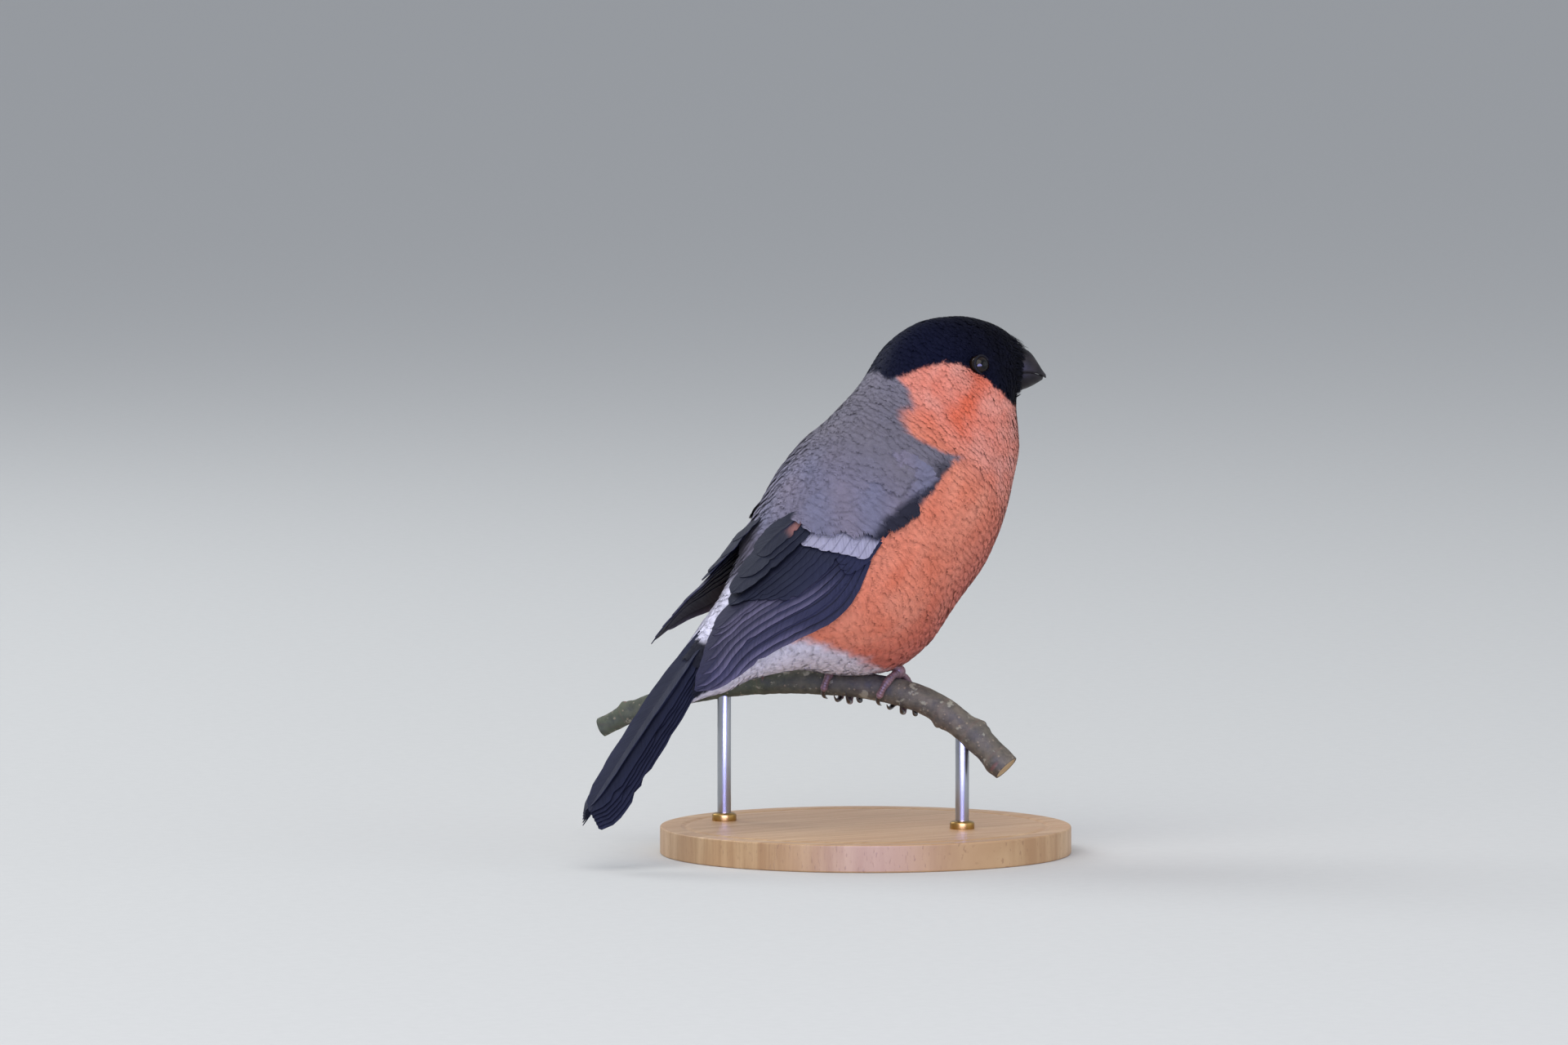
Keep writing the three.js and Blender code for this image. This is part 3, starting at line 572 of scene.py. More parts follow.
# The markings: each line says where one of them ends. The edges of the cap, the cheek and the white give a
# station number for an angle from the back in degrees, and the others an angle for a station number.
CAP_EDGE = [(0, 5.66), (16, 5.76), (24, 5.7), (33, 5.45), (40, 5.24), (48, 4.9), (53, 4.6), (59, 4.24),
            (65, 3.94), (71, 3.78), (78, 3.63), (85, 3.44), (95, 3.26), (105, 3.06), (117, 2.74), (128, 2.38),
            (138, 2.04), (150, 1.78), (180, 1.58)]
NAPE_EDGE = [(5.4, 26), (5.6, 31), (5.68, 37), (5.79, 42), (6.05, 46), (6.25, 43), (6.48, 40), (6.7, 41),
             (6.92, 48)]
CHEEK_END = [(30, 6.92), (53, 6.9), (62, 6.84), (71, 6.72), (79, 6.54), (86, 6.36)]
SHOULDER_EDGE = [(6.36, 85), (6.6, 80), (7.0, 76.5), (7.4, 75), (8.5, 74), (8.9, 68), (9.4, 60), (10.5, 56),
                 (11.7, 64), (12.9, 70), (16.0, 80)]
SHOULDER_SHADE = 0.75
SHADE_STATIONS = (6.7, 7.2, 8.4, 8.9)
CHEEK_GLOW = [(3.95, 86, 0.7, 7.5), (5.0, 83, 0.6, 9), (5.65, 74, 0.4, 9), (6.35, 57, 0.4, 11)]
WHITE_EDGE = [(0, 12.45), (30, 12.6), (60, 13.3), (85, 13.5), (98, 13.0), (109, 12.64), (118, 12.44),
              (128, 12.1), (140, 11.9), (151, 11.6), (180, 11.3)]
TAIL_COVERTS_FROM = 14.35
TAIL_COVERT_EDGE = [(14.2, 44), (14.6, 84), (15.4, 102)]
CAP_BLACK = colour(9, 12, 34)
FACE_BLACK = colour(6, 6, 12)
MANTLE_GREY = colour(118, 120, 148)
MANTLE_MAUVE = colour(132, 123, 141)
NAPE_GREY = colour(114, 110, 122)
CHEEK_PALE = colour(233, 157, 143)
CHEEK_RED = colour(229, 110, 80)
BREAST_RED = colour(234, 130, 101)
BREAST_SALMON = colour(243, 152, 126)
# The colour of painted shade on the breast's lower front.
BREAST_PAINTED_SHADE = colour(198, 98, 86)
BELLY_WHITE = colour(234, 232, 255)
# This black is also used as painted shadow under the shoulder feathers and along the wing's front edge.
COVERT_AND_SHADOW_BLACK = colour(22, 24, 38)


def read(line, at):
    """A value read between the knots of a line of pairs."""
    return np.interp(at, *zip(*line))


def from_back(angle):
    """An angle round the body in degrees from the back, above 0 on the left side and below on the right."""
    return np.degrees((angle + math.pi) % (2 * math.pi) - math.pi)


def smooth_noise(t, angle, size, seed):
    """Mottling over the body, from -1 to 1, fixed to the place on it."""
    places = body_point(t, angle)
    return bumps(places.reshape(-1, 3), size, seed).reshape(places.shape[:-1])


def streaks(t, angle, seed):
    """Tonal streaks that follow the lie of the feathers, from -1 to 1."""
    places = np.stack([t * 0.9, angle * 9.0, np.full(np.shape(t), float(seed))], -1)
    return bumps(places.reshape(-1, 3), 1.0).reshape(np.shape(t))


def mixed(first, second, share):
    return np.asarray(first) + (np.asarray(second) - np.asarray(first)) * np.asarray(share)[..., None]


def markings(t, angle):
    """The colour of the plumage at a station and an angle in radians, as reflected light, with painted shadow
    under the shoulder and painted shade on the lower front of the breast.
    """
    aside = np.abs(from_back(angle))
    broad = smooth_noise(t, angle, 6.5, 3)
    fine = smooth_noise(t, angle, 2.6, 11)
    silk = streaks(t, angle, 2)
    glow = sum(
        np.exp(-((t - at) / long) ** 2 - ((aside - off) / wide) ** 2) for at, off, long, wide in CHEEK_GLOW)
    warmth = 0.25 + 0.7 * glow + 0.45 * smooth_noise(t, angle, 4.6, 41) + 0.2 * silk
    cheek = mixed(CHEEK_PALE, CHEEK_RED, np.clip(warmth, 0, 1))
    breast = mixed(BREAST_RED, BREAST_SALMON, np.clip(0.5 + 0.6 * broad + 0.5 * silk, 0, 1))
    # Painted shade: the breast darkens towards its lower front, the side turned from the light.
    breast = mixed(breast, BREAST_PAINTED_SHADE, 0.8 * smooth_step(aside, 96, 150) * smooth_step(t, 5, 8))
    under = mixed(cheek, breast, smooth_step(t, 5.6, 7.2))
    white_from = read(WHITE_EDGE, aside)
    under = mixed(under, BELLY_WHITE, smooth_step(t + 0.25 * fine, white_from - 0.45, white_from + 0.25))
    grey = mixed(MANTLE_GREY, MANTLE_MAUVE, np.clip(0.45 + 0.45 * broad, 0, 1))
    grey = mixed(grey, NAPE_GREY, 0.75 * (1 - smooth_step(t, 7.6, 9.2)))
    grey = mixed(grey, BELLY_WHITE, smooth_step(t, white_from - 0.2, white_from + 0.15))
    shoulder_to = read(SHOULDER_EDGE, t)
    # Painted shadow: near its lower edge the grey is darkened towards black, where the shoulder feathers
    # overhang it.
    shaded = smooth_step(aside, shoulder_to - 10, shoulder_to - 2) * within(t, *SHADE_STATIONS)
    grey = mixed(grey, COVERT_AND_SHADOW_BLACK, SHOULDER_SHADE * shaded)
    nape_to = read(NAPE_EDGE, t)
    nape = 1 - smooth_step(aside + 2.5 * fine, nape_to - 6.5, nape_to + 6.5)
    cheek_to = read(CHEEK_END, aside)
    shoulder = smooth_step(t + 0.04 * fine, cheek_to - 0.08, cheek_to + 0.08)
    shoulder = shoulder * (1 - smooth_step(aside + fine, shoulder_to - 1.5, shoulder_to + 1.5))
    tone = mixed(under, grey, np.maximum(nape * (t < 7.2), shoulder))
    black_to = read(TAIL_COVERT_EDGE, t)
    behind = smooth_step(t, TAIL_COVERTS_FROM - 0.1, TAIL_COVERTS_FROM + 0.1)
    behind = behind * (1 - smooth_step(aside, black_to - 6, black_to + 6))
    tone = mixed(tone, COVERT_AND_SHADOW_BLACK, behind)
    cap_to = read(CAP_EDGE, aside)
    cap = mixed(FACE_BLACK, CAP_BLACK, smooth_step(t, 2.0, 4.5))
    return mixed(cap, tone, smooth_step(t + 0.05 * fine, cap_to - 0.06, cap_to + 0.06))


PAINT_STEP_T = 0.03
PAINT_STEP_ANGLE = math.radians(1)
paint_t = np.arange(0, 17.5, PAINT_STEP_T)
paint_angle = np.arange(-math.pi, math.pi + 2 * PAINT_STEP_ANGLE, PAINT_STEP_ANGLE)
paint = markings(*np.meshgrid(paint_t, paint_angle, indexing="ij"))


def painted(t, angle):
    """The colour of the plumage at many places, read between the points of a fine net over the body."""
    row = np.clip(t / PAINT_STEP_T, 0, len(paint_t) - 1.001)
    column = ((angle + math.pi) % (2 * math.pi)) / PAINT_STEP_ANGLE
    i, j = row.astype(int), column.astype(int)
    down_share, side_share = (row - i)[..., None], (column - j)[..., None]
    near = paint[i, j] * (1 - side_share) + paint[i, j + 1] * side_share
    beyond = paint[i + 1, j] * (1 - side_share) + paint[i + 1, j + 1] * side_share
    return near * (1 - down_share) + beyond * down_share


# The skin: it lies under the body's outer form by the depth of the coat, given at station numbers, and is
# sunk in further where a folded wing rests on it.
COAT_DEPTH = [(0, 0.15), (1, 0.35), (3, 0.7), (5, 1.1), (7, 1.7), (9, 2.0), (12, 2.1), (14, 1.4), (16, 0.7)]
WING_BED_DEPTH = 3.06
WING_BED_STATIONS = (7.2, 8.4, 12.4, 13.6)
WING_BED_ANGLES = (6, 28, 76, 92)
SKIN_CLEAR = (0.5, 1.4)
SKIN_RINGS = 150
SKIN_SIDES = 96


def wing_bed(t, angle):
    """How far the body is sunk in under a folded wing."""
    return WING_BED_DEPTH * within(t, *WING_BED_STATIONS) * within(np.abs(from_back(angle)), *WING_BED_ANGLES)


def down(wire):
    tone = wire.attribute("plumage")
    tufts = wire.cloud(0.9, 4.0, 0.6)
    return {
        "Base Color": (0.35 + tufts * 0.4).blend(tone, (0.02, 0.02, 0.024)),
        "Roughness": 0.85 + tufts * 0.1,
        "Normal": wire.relief(tufts, 0.3),
    }


skin_t, skin_angle = np.meshgrid(
    np.linspace(0, LAST, SKIN_RINGS), np.linspace(0, 2 * math.pi, SKIN_SIDES, endpoint=False), indexing="ij")
skin_sunk = -read(COAT_DEPTH, skin_t) - wing_bed(skin_t, skin_angle)
skin_points = clear_of_perch(body_point(skin_t, skin_angle, skin_sunk), *SKIN_CLEAR)
skin = lofted("skin", skin_points, plumage=painted(skin_t, skin_angle))


UNWRAP_EDGE = 0.02
UNWRAP_SIZE = 1 - 2 * UNWRAP_EDGE


def unwrap(t, angle):
    """A place on the flat unwrap of the skin: along the bird, and round it from the belly's middle line."""
    along_share = np.clip(t / (LAST + 1.2), 0, 1)
    round_share = ((angle + math.pi) % (2 * math.pi)) / (2 * math.pi)
    return UNWRAP_EDGE + UNWRAP_SIZE * np.stack([along_share, round_share], -1)


layer = skin.data.uv_layers.new(name="OFBake")
skin_place = np.vstack([np.stack([skin_t, skin_angle], -1).reshape(-1, 2), [(0, math.pi), (LAST, math.pi)]])
loop_corner = np.zeros(len(skin.data.loops), np.int32)
skin.data.loops.foreach_get("vertex_index", loop_corner)
skin_uv = unwrap(skin_place[loop_corner, 0], skin_place[loop_corner, 1])
for face in skin.data.polygons:
    corners = skin_uv[face.loop_start:face.loop_start + face.loop_total]
    corners[corners[:, 1].max() - corners[:, 1] > 0.5, 1] += UNWRAP_SIZE
layer.data.foreach_set("uv", skin_uv.astype(np.float32).ravel())
down_finish = finish("down", down, specular_ior_level=0.1)
settle(skin, "down_skin", down_finish, "body_feathers", "head", "neck", "torso")

# The coat: small contour feathers, each a shaft with fine barbs on both sides. They grow from the skin in
# overlapping order from the bill to the tail and are longest on the flanks and shortest on the face.
FEATHER_LENGTH = [(0, 1.2), (1, 1.5), (2, 2.2), (3, 2.8), (4, 3.2), (5, 3.8), (6, 4.8), (7, 5.8), (9, 6.6),
                  (12, 7.4), (14, 7.2), (15, 5.6), (16, 4.0)]
SPACING_SHARE = [(0, 0.34), (2, 0.24), (5, 0.18), (7, 0.142), (16, 0.14)]
WIDTH_SHARE = 0.3
FEATHER_CUP = 0.04
BARB_ROLL = 0.012
RAGGED = 0.07
TINT_SLIP = 0.3
PATCH = 0.003
EYE = np.array([27.0, 9.8, 69.5 + PERCH_HEIGHT])
EYE_RADIUS = 2.3
LID_SHARE = 0.58
eye_middle = {side: turned(EYE * (1, side, 1), 1.0) for side in (-1, 1)}
draw = np.random.default_rng(7)


def eye_distance(points):
    return np.min([np.linalg.norm(points - middle, axis=-1) for middle in eye_middle.values()], axis=0)


def coat_length(t, angle):
    """How long the feathers are at a place: by the station, and very short round the eyes."""
    length = read(FEATHER_LENGTH, t)
    beyond_lid = eye_distance(body_point(t, angle)) - EYE_RADIUS - 0.25
    return np.where(beyond_lid < 4, np.minimum(length, 0.9 + 0.45 * np.maximum(beyond_lid, 0)), length)


def feather_pattern(barbs):
    """One feather on the unit square: places along and across, barb roll, barb shade and triangles."""
    along, across, roll, shade, triangles = [], [], [], [], []

    def strip(places, tone):
        first = len(along)
        for place in places:
            for values, value in zip((along, across, roll), place):
                values.append(value)
            shade.append(tone)
        triangles.extend([(first, first + 1, first + 2), (first + 1, first + 3, first + 2),
                          (first + 2, first + 3, first + 4)])

    strip([(0, -0.1, 0), (0, 0.1, 0), (0.55, -0.05, 0.3), (0.55, 0.05, 0.3), (1.0, 0, 0)], 1.08)
    step = 0.74 / barbs
    for side in (-1, 1):
        for number in range(barbs):
            root = 0.24 + step * (number + draw.uniform(0, 0.7))
            reach = root + 0.3 * (1.08 - root) ** 0.5 + draw.uniform(-0.02, 0.02)
            tip = min(reach, 1.02 + draw.uniform(-RAGGED, RAGGED))
            span = np.clip((tip - 0.1) / 0.95, 0, 1)
            edge = side * (1 - abs(2 * span - 1) ** 2.6) ** 0.45 * (1 + draw.uniform(-RAGGED, RAGGED))
            middle = root + 0.4 * (tip - root)
            tone = 1 + draw.uniform(-0.04, 0.04)
            corners = [(root - step * 0.6, 0, -1), (root + step * 0.6, 0, 1),
                       (middle - step * 0.75, edge * 0.62, -1), (middle + step * 0.75, edge * 0.62, 1),
                       (tip, edge, 0)]
            if side < 0:
                corners = [corners[k] for k in (1, 0, 3, 2, 4)]
            strip(corners, tone)
    return np.array(along), np.array(across), np.array(roll), np.array(shade), np.array(triangles)


PATTERNS_EACH = 8
FACE_BARBS = 6
HEAD_BARBS = 11
BODY_BARBS = 22
patterns = {barbs: [feather_pattern(barbs) for _ in range(PATTERNS_EACH)]
            for barbs in (FACE_BARBS, HEAD_BARBS, BODY_BARBS)}


def scattered(surface, steps, ranges, spacing, tries):
    """Places on a surface that keep their own distance from each other, as evenly as feather roots do."""
    a = draw.uniform(*ranges[0], tries)
    b = draw.uniform(*ranges[1], tries)
    along, around, _ = slopes(surface, a, b, steps)
    area = np.linalg.norm(np.cross(along, around), axis=-1)
    gaps = spacing(a, b)
    need = np.where(gaps > 0, area / np.maximum(gaps, 0.1) ** 2, 0)
    kept = draw.uniform(0, 1, tries) < need / np.percentile(need, 99)
    a, b, gaps = a[kept], b[kept], gaps[kept]
    points = surface(a, b)
    cell = gaps.max()
    cells = np.floor(points / cell).astype(int)
    grid, chosen = {}, []
    around_cell = [(i, j, k) for i in (-1, 0, 1) for j in (-1, 0, 1) for k in (-1, 0, 1)]
    for number in range(len(a)):
        x, y, z = cells[number]
        px, py, pz = points[number]
        limit = gaps[number] ** 2
        near = (q for i, j, k in around_cell for q in grid.get((x + i, y + j, z + k), ()))
        if not any((px - qx) ** 2 + (py - qy) ** 2 + (pz - qz) ** 2 < limit for qx, qy, qz in near):
            grid.setdefault((x, y, z), []).append((px, py, pz))
            chosen.append(number)
    return a[chosen], b[chosen]


def feathered(surface, steps, a, b, length, width, depth, lift, swing, barbs, tint, strength):
    """Many feathers on a surface, as points, triangles, colours, soft normals and bake places."""
    along, around, _ = slopes(surface, a, b, steps)
    per_a = np.linalg.norm(along, axis=-1)
    per_b = np.linalg.norm(around, axis=-1)
    which = draw.integers(0, PATTERNS_EACH, len(a))
    parts = []
    for kind in range(PATTERNS_EACH):
        chosen = np.where(which == kind)[0]
        u, v, roll, shade, triangles = patterns[barbs][kind]
        long = length[chosen, None] * u
        wide = width[chosen, None] * v
        turn = swing[chosen, None] + 0.08 * u * draw.uniform(-1, 1, (len(chosen), 1))
        na = a[chosen, None] + (long * np.cos(turn) - wide * np.sin(turn)) / per_a[chosen, None]
        nb = b[chosen, None] + (long * np.sin(turn) + wide * np.cos(turn)) / per_b[chosen, None]
        height = depth[chosen, None] * (-(np.maximum(1 - u, 0) ** 1.7)) + lift[chosen, None]
        height = height - FEATHER_CUP * width[chosen, None] * v ** 2
        height = height + roll * BARB_ROLL * np.minimum(length[chosen, None] / 5, 1)
        _, _, normal = slopes(surface, na, nb, steps)
        points = surface(na, nb) + normal * height[..., None]
        slip = draw.uniform(-TINT_SLIP, TINT_SLIP, (2, len(chosen), 1))
        tones = tint(na + slip[0] / per_a[chosen, None], nb + slip[1] / per_b[chosen, None])
        # Each feather darkens towards its root: partly the grey of its real base, partly painted shade where
        # it lies under the feathers before it.
        tones = tones * strength[chosen, None, None] * (shade * (0.94 + 0.07 * u ** 0.7))[None, :, None]
        bake = np.stack([u - 0.5, v * 0.5], -1)[None] * PATCH
        parts.append((points, triangles, tones, normal, np.repeat(bake, len(chosen), 0), chosen))
    return parts


def coat_piece(name, parts, places, material, slot, clear=None):
    """Joins the feathers of one part of the coat into one mesh with its colours and its bake places."""
    points, triangles, tones, normals, bakes = [], [], [], [], []
    count = 0
    for block, pattern, tone, normal, bake, chosen in parts:
        feathers, corners = block.shape[:2]
        base = count + np.arange(feathers)[:, None, None] * corners
        triangles.append((pattern[None] + base).reshape(-1, 3))
        points.append(block.reshape(-1, 3))
        tones.append(tone.reshape(-1, 3))
        normals.append(normal.reshape(-1, 3))
        bakes.append((bake + places[chosen][:, None]).reshape(-1, 2))
        count += feathers * corners
    points = np.vstack(points)
    if clear:
        points = clear_of_perch(points, *clear)
    triangles = np.vstack(triangles).astype(np.int32)
    mesh = bpy.data.meshes.new(name)
    mesh.vertices.add(len(points))
    mesh.vertices.foreach_set("co", (points * MM).astype(np.float32).ravel())
    mesh.loops.add(triangles.size)
    mesh.loops.foreach_set("vertex_index", triangles.ravel())
    mesh.polygons.add(len(triangles))
    mesh.polygons.foreach_set("loop_start", np.arange(0, triangles.size, 3, dtype=np.int32))
    mesh.polygons.foreach_set("use_smooth", np.ones(len(triangles), bool))
    mesh.update(calc_edges=True)
    paint_points(mesh, "plumage", np.vstack(tones))
    paint_points(mesh, "lie", np.vstack(normals))
    uv = mesh.uv_layers.new(name="OFBake")
    uv.data.foreach_set("uv", np.vstack(bakes)[triangles.ravel()].astype(np.float32).ravel())
    settle(in_scene(name, mesh), name, material, slot)


def soft_normal(wire, share):
    """The normal of the barbs, evened out towards that of the body under them."""
    own = wire.node("NewGeometry", output="Normal")
    level = wire.attribute("lie", "Vector")
    blended = wire.node("Mix", {"data_type": "VECTOR"}, {0: share, 4: own, 5: level}, 1)
    return wire.node("VectorMath", {"operation": "NORMALIZE"}, {0: blended})


def soft_plumage(wire):
    tone = wire.attribute("plumage")
    mottle = wire.cloud(1.4)
    return {
        "Base Color": (mottle.between(0.35, 0.7) * 0.12).blend(tone, (0.01, 0.01, 0.012)),
        "Roughness": 0.66 + mottle * 0.2,
        "Normal": soft_normal(wire, 0.95),
    }


def glossy_plumage(wire):
    tone = wire.attribute("plumage")
    mottle = wire.cloud(1.2)
    return {
        "Base Color": (mottle.between(0.4, 0.7) * 0.15).blend(tone, colour(34, 36, 58)),
        "Roughness": 0.46 + mottle * 0.2,
        "Normal": soft_normal(wire, 0.7),
    }


coat_soft = finish(
    "soft plumage", soft_plumage, sheen_weight=0.15, sheen_roughness=0.5, specular_ior_level=0.12)
coat_gloss = finish("glossy plumage", glossy_plumage, specular_ior_level=0.08, specular_tint=(0.6, 0.66, 1.0))

# The wings' lines on the body, from the shoulder to the wing tip. Each row is a station, the angles of the
# wing's lower and upper edge in degrees from the back, and how far the wing stands off the body there.
WING_ROWS = {
    "right": [(7.0, 81, 46, -1.6), (8.1, 76, 34, -1.6), (9.3, 71, 24, -1.2), (10.5, 73, 15, -0.4),
              (11.7, 81, 8, 0.6), (12.9, 86, 5, 1.3), (14.2, 88, 14, 1.8), (15.65, 84, 46, 2.4)],
    "left": [(7.0, 81, 46, -2.2), (8.0, 77, 34, -2.6), (9.1, 75, 25, -2.6), (10.2, 75, 19, -1.0),
             (11.3, 75, 16, 1.9), (12.4, 71, 17, 4.0), (13.6, 60, 22, 5.7), (14.8, 50, 34, 7.2)],
}
SIDES = {"left": 1, "right": -1}
MANTLE_OVERLAP = 9
BREAST_OVERLAP = 4
FLANK_OVERLAP = 4.5
HIDDEN_FROM = 7.9
HIDDEN_TO = 12.9


def under_wing(t, angle):
    """True where a folded wing hides the body."""
    hidden = np.zeros(np.shape(t), bool)
    for side, mirror in SIDES.items():
        stations, lower, upper, _ = np.array(WING_ROWS[side]).T
        aside = mirror * from_back(angle)
        flank = FLANK_OVERLAP * np.exp(-((t - 9.75) / 0.5) ** 2)
        inside = aside > np.interp(t, stations, upper) + MANTLE_OVERLAP
        inside &= aside < np.interp(t, stations, lower) - BREAST_OVERLAP - flank
        hidden |= inside & (t > HIDDEN_FROM) & (t < HIDDEN_TO)
    return hidden


def root_spacing(t, angle):
    gap = coat_length(t, angle) * read(SPACING_SHARE, t)
    aside = np.abs(np.degrees(angle))
    under_tail = (t > REAR_FROM + 0.9) | ((t > TAIL_COVERTS_FROM) & (aside < 55))
    return np.where(under_wing(t, angle) | under_tail, 0, gap)


ROOT_TRIES = 220000
MANTLE_LIFT = 0.9
MANTLE_LIFT_STATIONS = (6.6, 8.2, 10.8, 12.2)
MANTLE_LIFT_ANGLES = (8, 26, 60, 66)
FLANK_SINK = 0.5
COAT_FROM = 0.02
LID_RIM = EYE_RADIUS + 0.12
root_t, root_angle = scattered(
    body_point, BODY_STEPS, ((COAT_FROM, LAST), (-math.pi, math.pi)), root_spacing, ROOT_TRIES)
root_side = np.abs(np.degrees(root_angle))
root_length = coat_length(root_t, root_angle) * draw.uniform(0.9, 1.1, len(root_t))
root_point = body_point(root_t, root_angle)
root_heading = unit(body_slopes(root_t, root_angle)[0])
tip_point = root_point + root_heading * root_length[:, None]
keep = (eye_distance(root_point) > LID_RIM) & (eye_distance(tip_point) > LID_RIM - 0.1)
root_t, root_angle, root_side, root_length = (x[keep] for x in (root_t, root_angle, root_side, root_length))
root_swing = 0.1 * smooth_noise(root_t, root_angle, 7.0, 21) + draw.uniform(-0.04, 0.04, len(root_t))
seen_t = root_t + 0.75 * root_length / np.linalg.norm(body_slopes(root_t, root_angle)[0], axis=-1)
root_strength = draw.uniform(0.97, 1.03, len(root_t)) * (1 + 0.06 * streaks(root_t, root_angle, 5))
root_lift = 0.05 * smooth_noise(root_t, root_angle, 5.0, 31) + draw.uniform(-0.02, 0.02, len(root_t))
root_lift *= np.interp(root_t, [2, 7], [0.3, 1.0])
root_lift += MANTLE_LIFT * within(root_t, *MANTLE_LIFT_STATIONS) * within(root_side, *MANTLE_LIFT_ANGLES)
wing_low = np.interp(root_t, *np.array(WING_ROWS["right"])[:, :2].T)
by_wing_edge = 1 - smooth_step(np.abs(root_side - wing_low + 4), 4, 12)
root_lift -= FLANK_SINK * smooth_step(root_t, 8.6, 9.4) * by_wing_edge
FACE_TO = 2.6
CHEEK_TO = 5.9
BREAST_TO = 9.6
FLANK_TO = 12.4
MANTLE_TO = 14.1
BACK_TO = 62
COAT_CLEAR = (0.15, 0.9)
root_cap = seen_t < read(CAP_EDGE, root_side)
root_right = root_angle < 0
root_back = root_side < BACK_TO
root_mantle = ~root_cap & (root_t >= CHEEK_TO) & (root_t < MANTLE_TO) & root_back
root_breast = ~root_cap & (root_t >= CHEEK_TO) & (root_t < BREAST_TO) & ~root_back
REGIONS = {
    "cap_feathers": root_cap & (root_t < FACE_TO),
    "crown_feathers": root_cap & (root_t >= FACE_TO),
    "cheek_feathers": ~root_cap & (root_t < CHEEK_TO),
    "mantle_feathers_right": root_mantle & root_right,
    "mantle_feathers_left": root_mantle & ~root_right,
    "breast_feathers_right": root_breast & root_right,
    "breast_feathers_left": root_breast & ~root_right,
    "flank_feathers": (root_t >= BREAST_TO) & (root_t < FLANK_TO) & ~root_back,
    "vent_feathers": (root_t >= FLANK_TO) & ~root_back,
    "tail_covert_feathers": (root_t >= MANTLE_TO) & root_back,
}
HEAD_COATS = {
    "cap_feathers": (FACE_BARBS, coat_gloss, "cap_feathers"),
    "crown_feathers": (HEAD_BARBS, coat_gloss, "cap_feathers"),
    "cheek_feathers": (HEAD_BARBS, coat_soft, "cheek_feathers"),
}
for name, inside in REGIONS.items():
    barbs, material, slot = HEAD_COATS.get(name, (BODY_BARBS, coat_soft, "body_feathers"))
    chosen = np.where(inside)[0]
    t, angle, length = root_t[chosen], root_angle[chosen], root_length[chosen]
    width = length * WIDTH_SHARE * draw.uniform(0.9, 1.12, len(chosen))
    parts = feathered(body_point, BODY_STEPS, t, angle, length, width, read(COAT_DEPTH, t), root_lift[chosen],
                      root_swing[chosen], barbs, painted, root_strength[chosen])
    coat_piece(name, parts, unwrap(t, angle), material, slot, COAT_CLEAR)

# Flight feathers: long firm vanes on a ridged shaft, black with a blue gloss, closed like a fan. Each is
# a thin closed blade, cambered across, with a ragged edge and a few parted barbs.
VANE_ROWS = 26
VANE_COLUMNS = np.array([-1, -0.66, -0.33, -0.07, 0, 0.07, 0.33, 0.66, 1.0])
VANE_STEPS = (0.004, 0.004)
VANE_THICKNESS = 0.14
RIDGE = 0.16
PARTED_BARBS = (0.1, 0.26)
UNDERSIDE_SHADE = 0.7
WING_BLACK = colour(34, 37, 51)
WING_MAUVE = colour(115, 109, 139)
WING_BAR = colour(176, 174, 200)
TERTIAL_PINK = colour(166, 112, 106)
TAIL_BLACK = colour(33, 36, 53)
TAIL_EDGE = colour(34, 38, 66)
SECONDARY_EDGE = colour(42, 45, 61)


def vane_half(share):
    """Half the width of a vane along its length, as a share of the widest half."""
    body = np.interp(share, [0, 0.12, 0.42, 0.84, 1.0], [0.3, 0.62, 0.97, 0.9, 0.84])
    tip = np.sqrt(np.clip(1 - np.clip((share - 0.84) / 0.16, 0, 1) ** 2.4, 0, 1))
    return body * tip


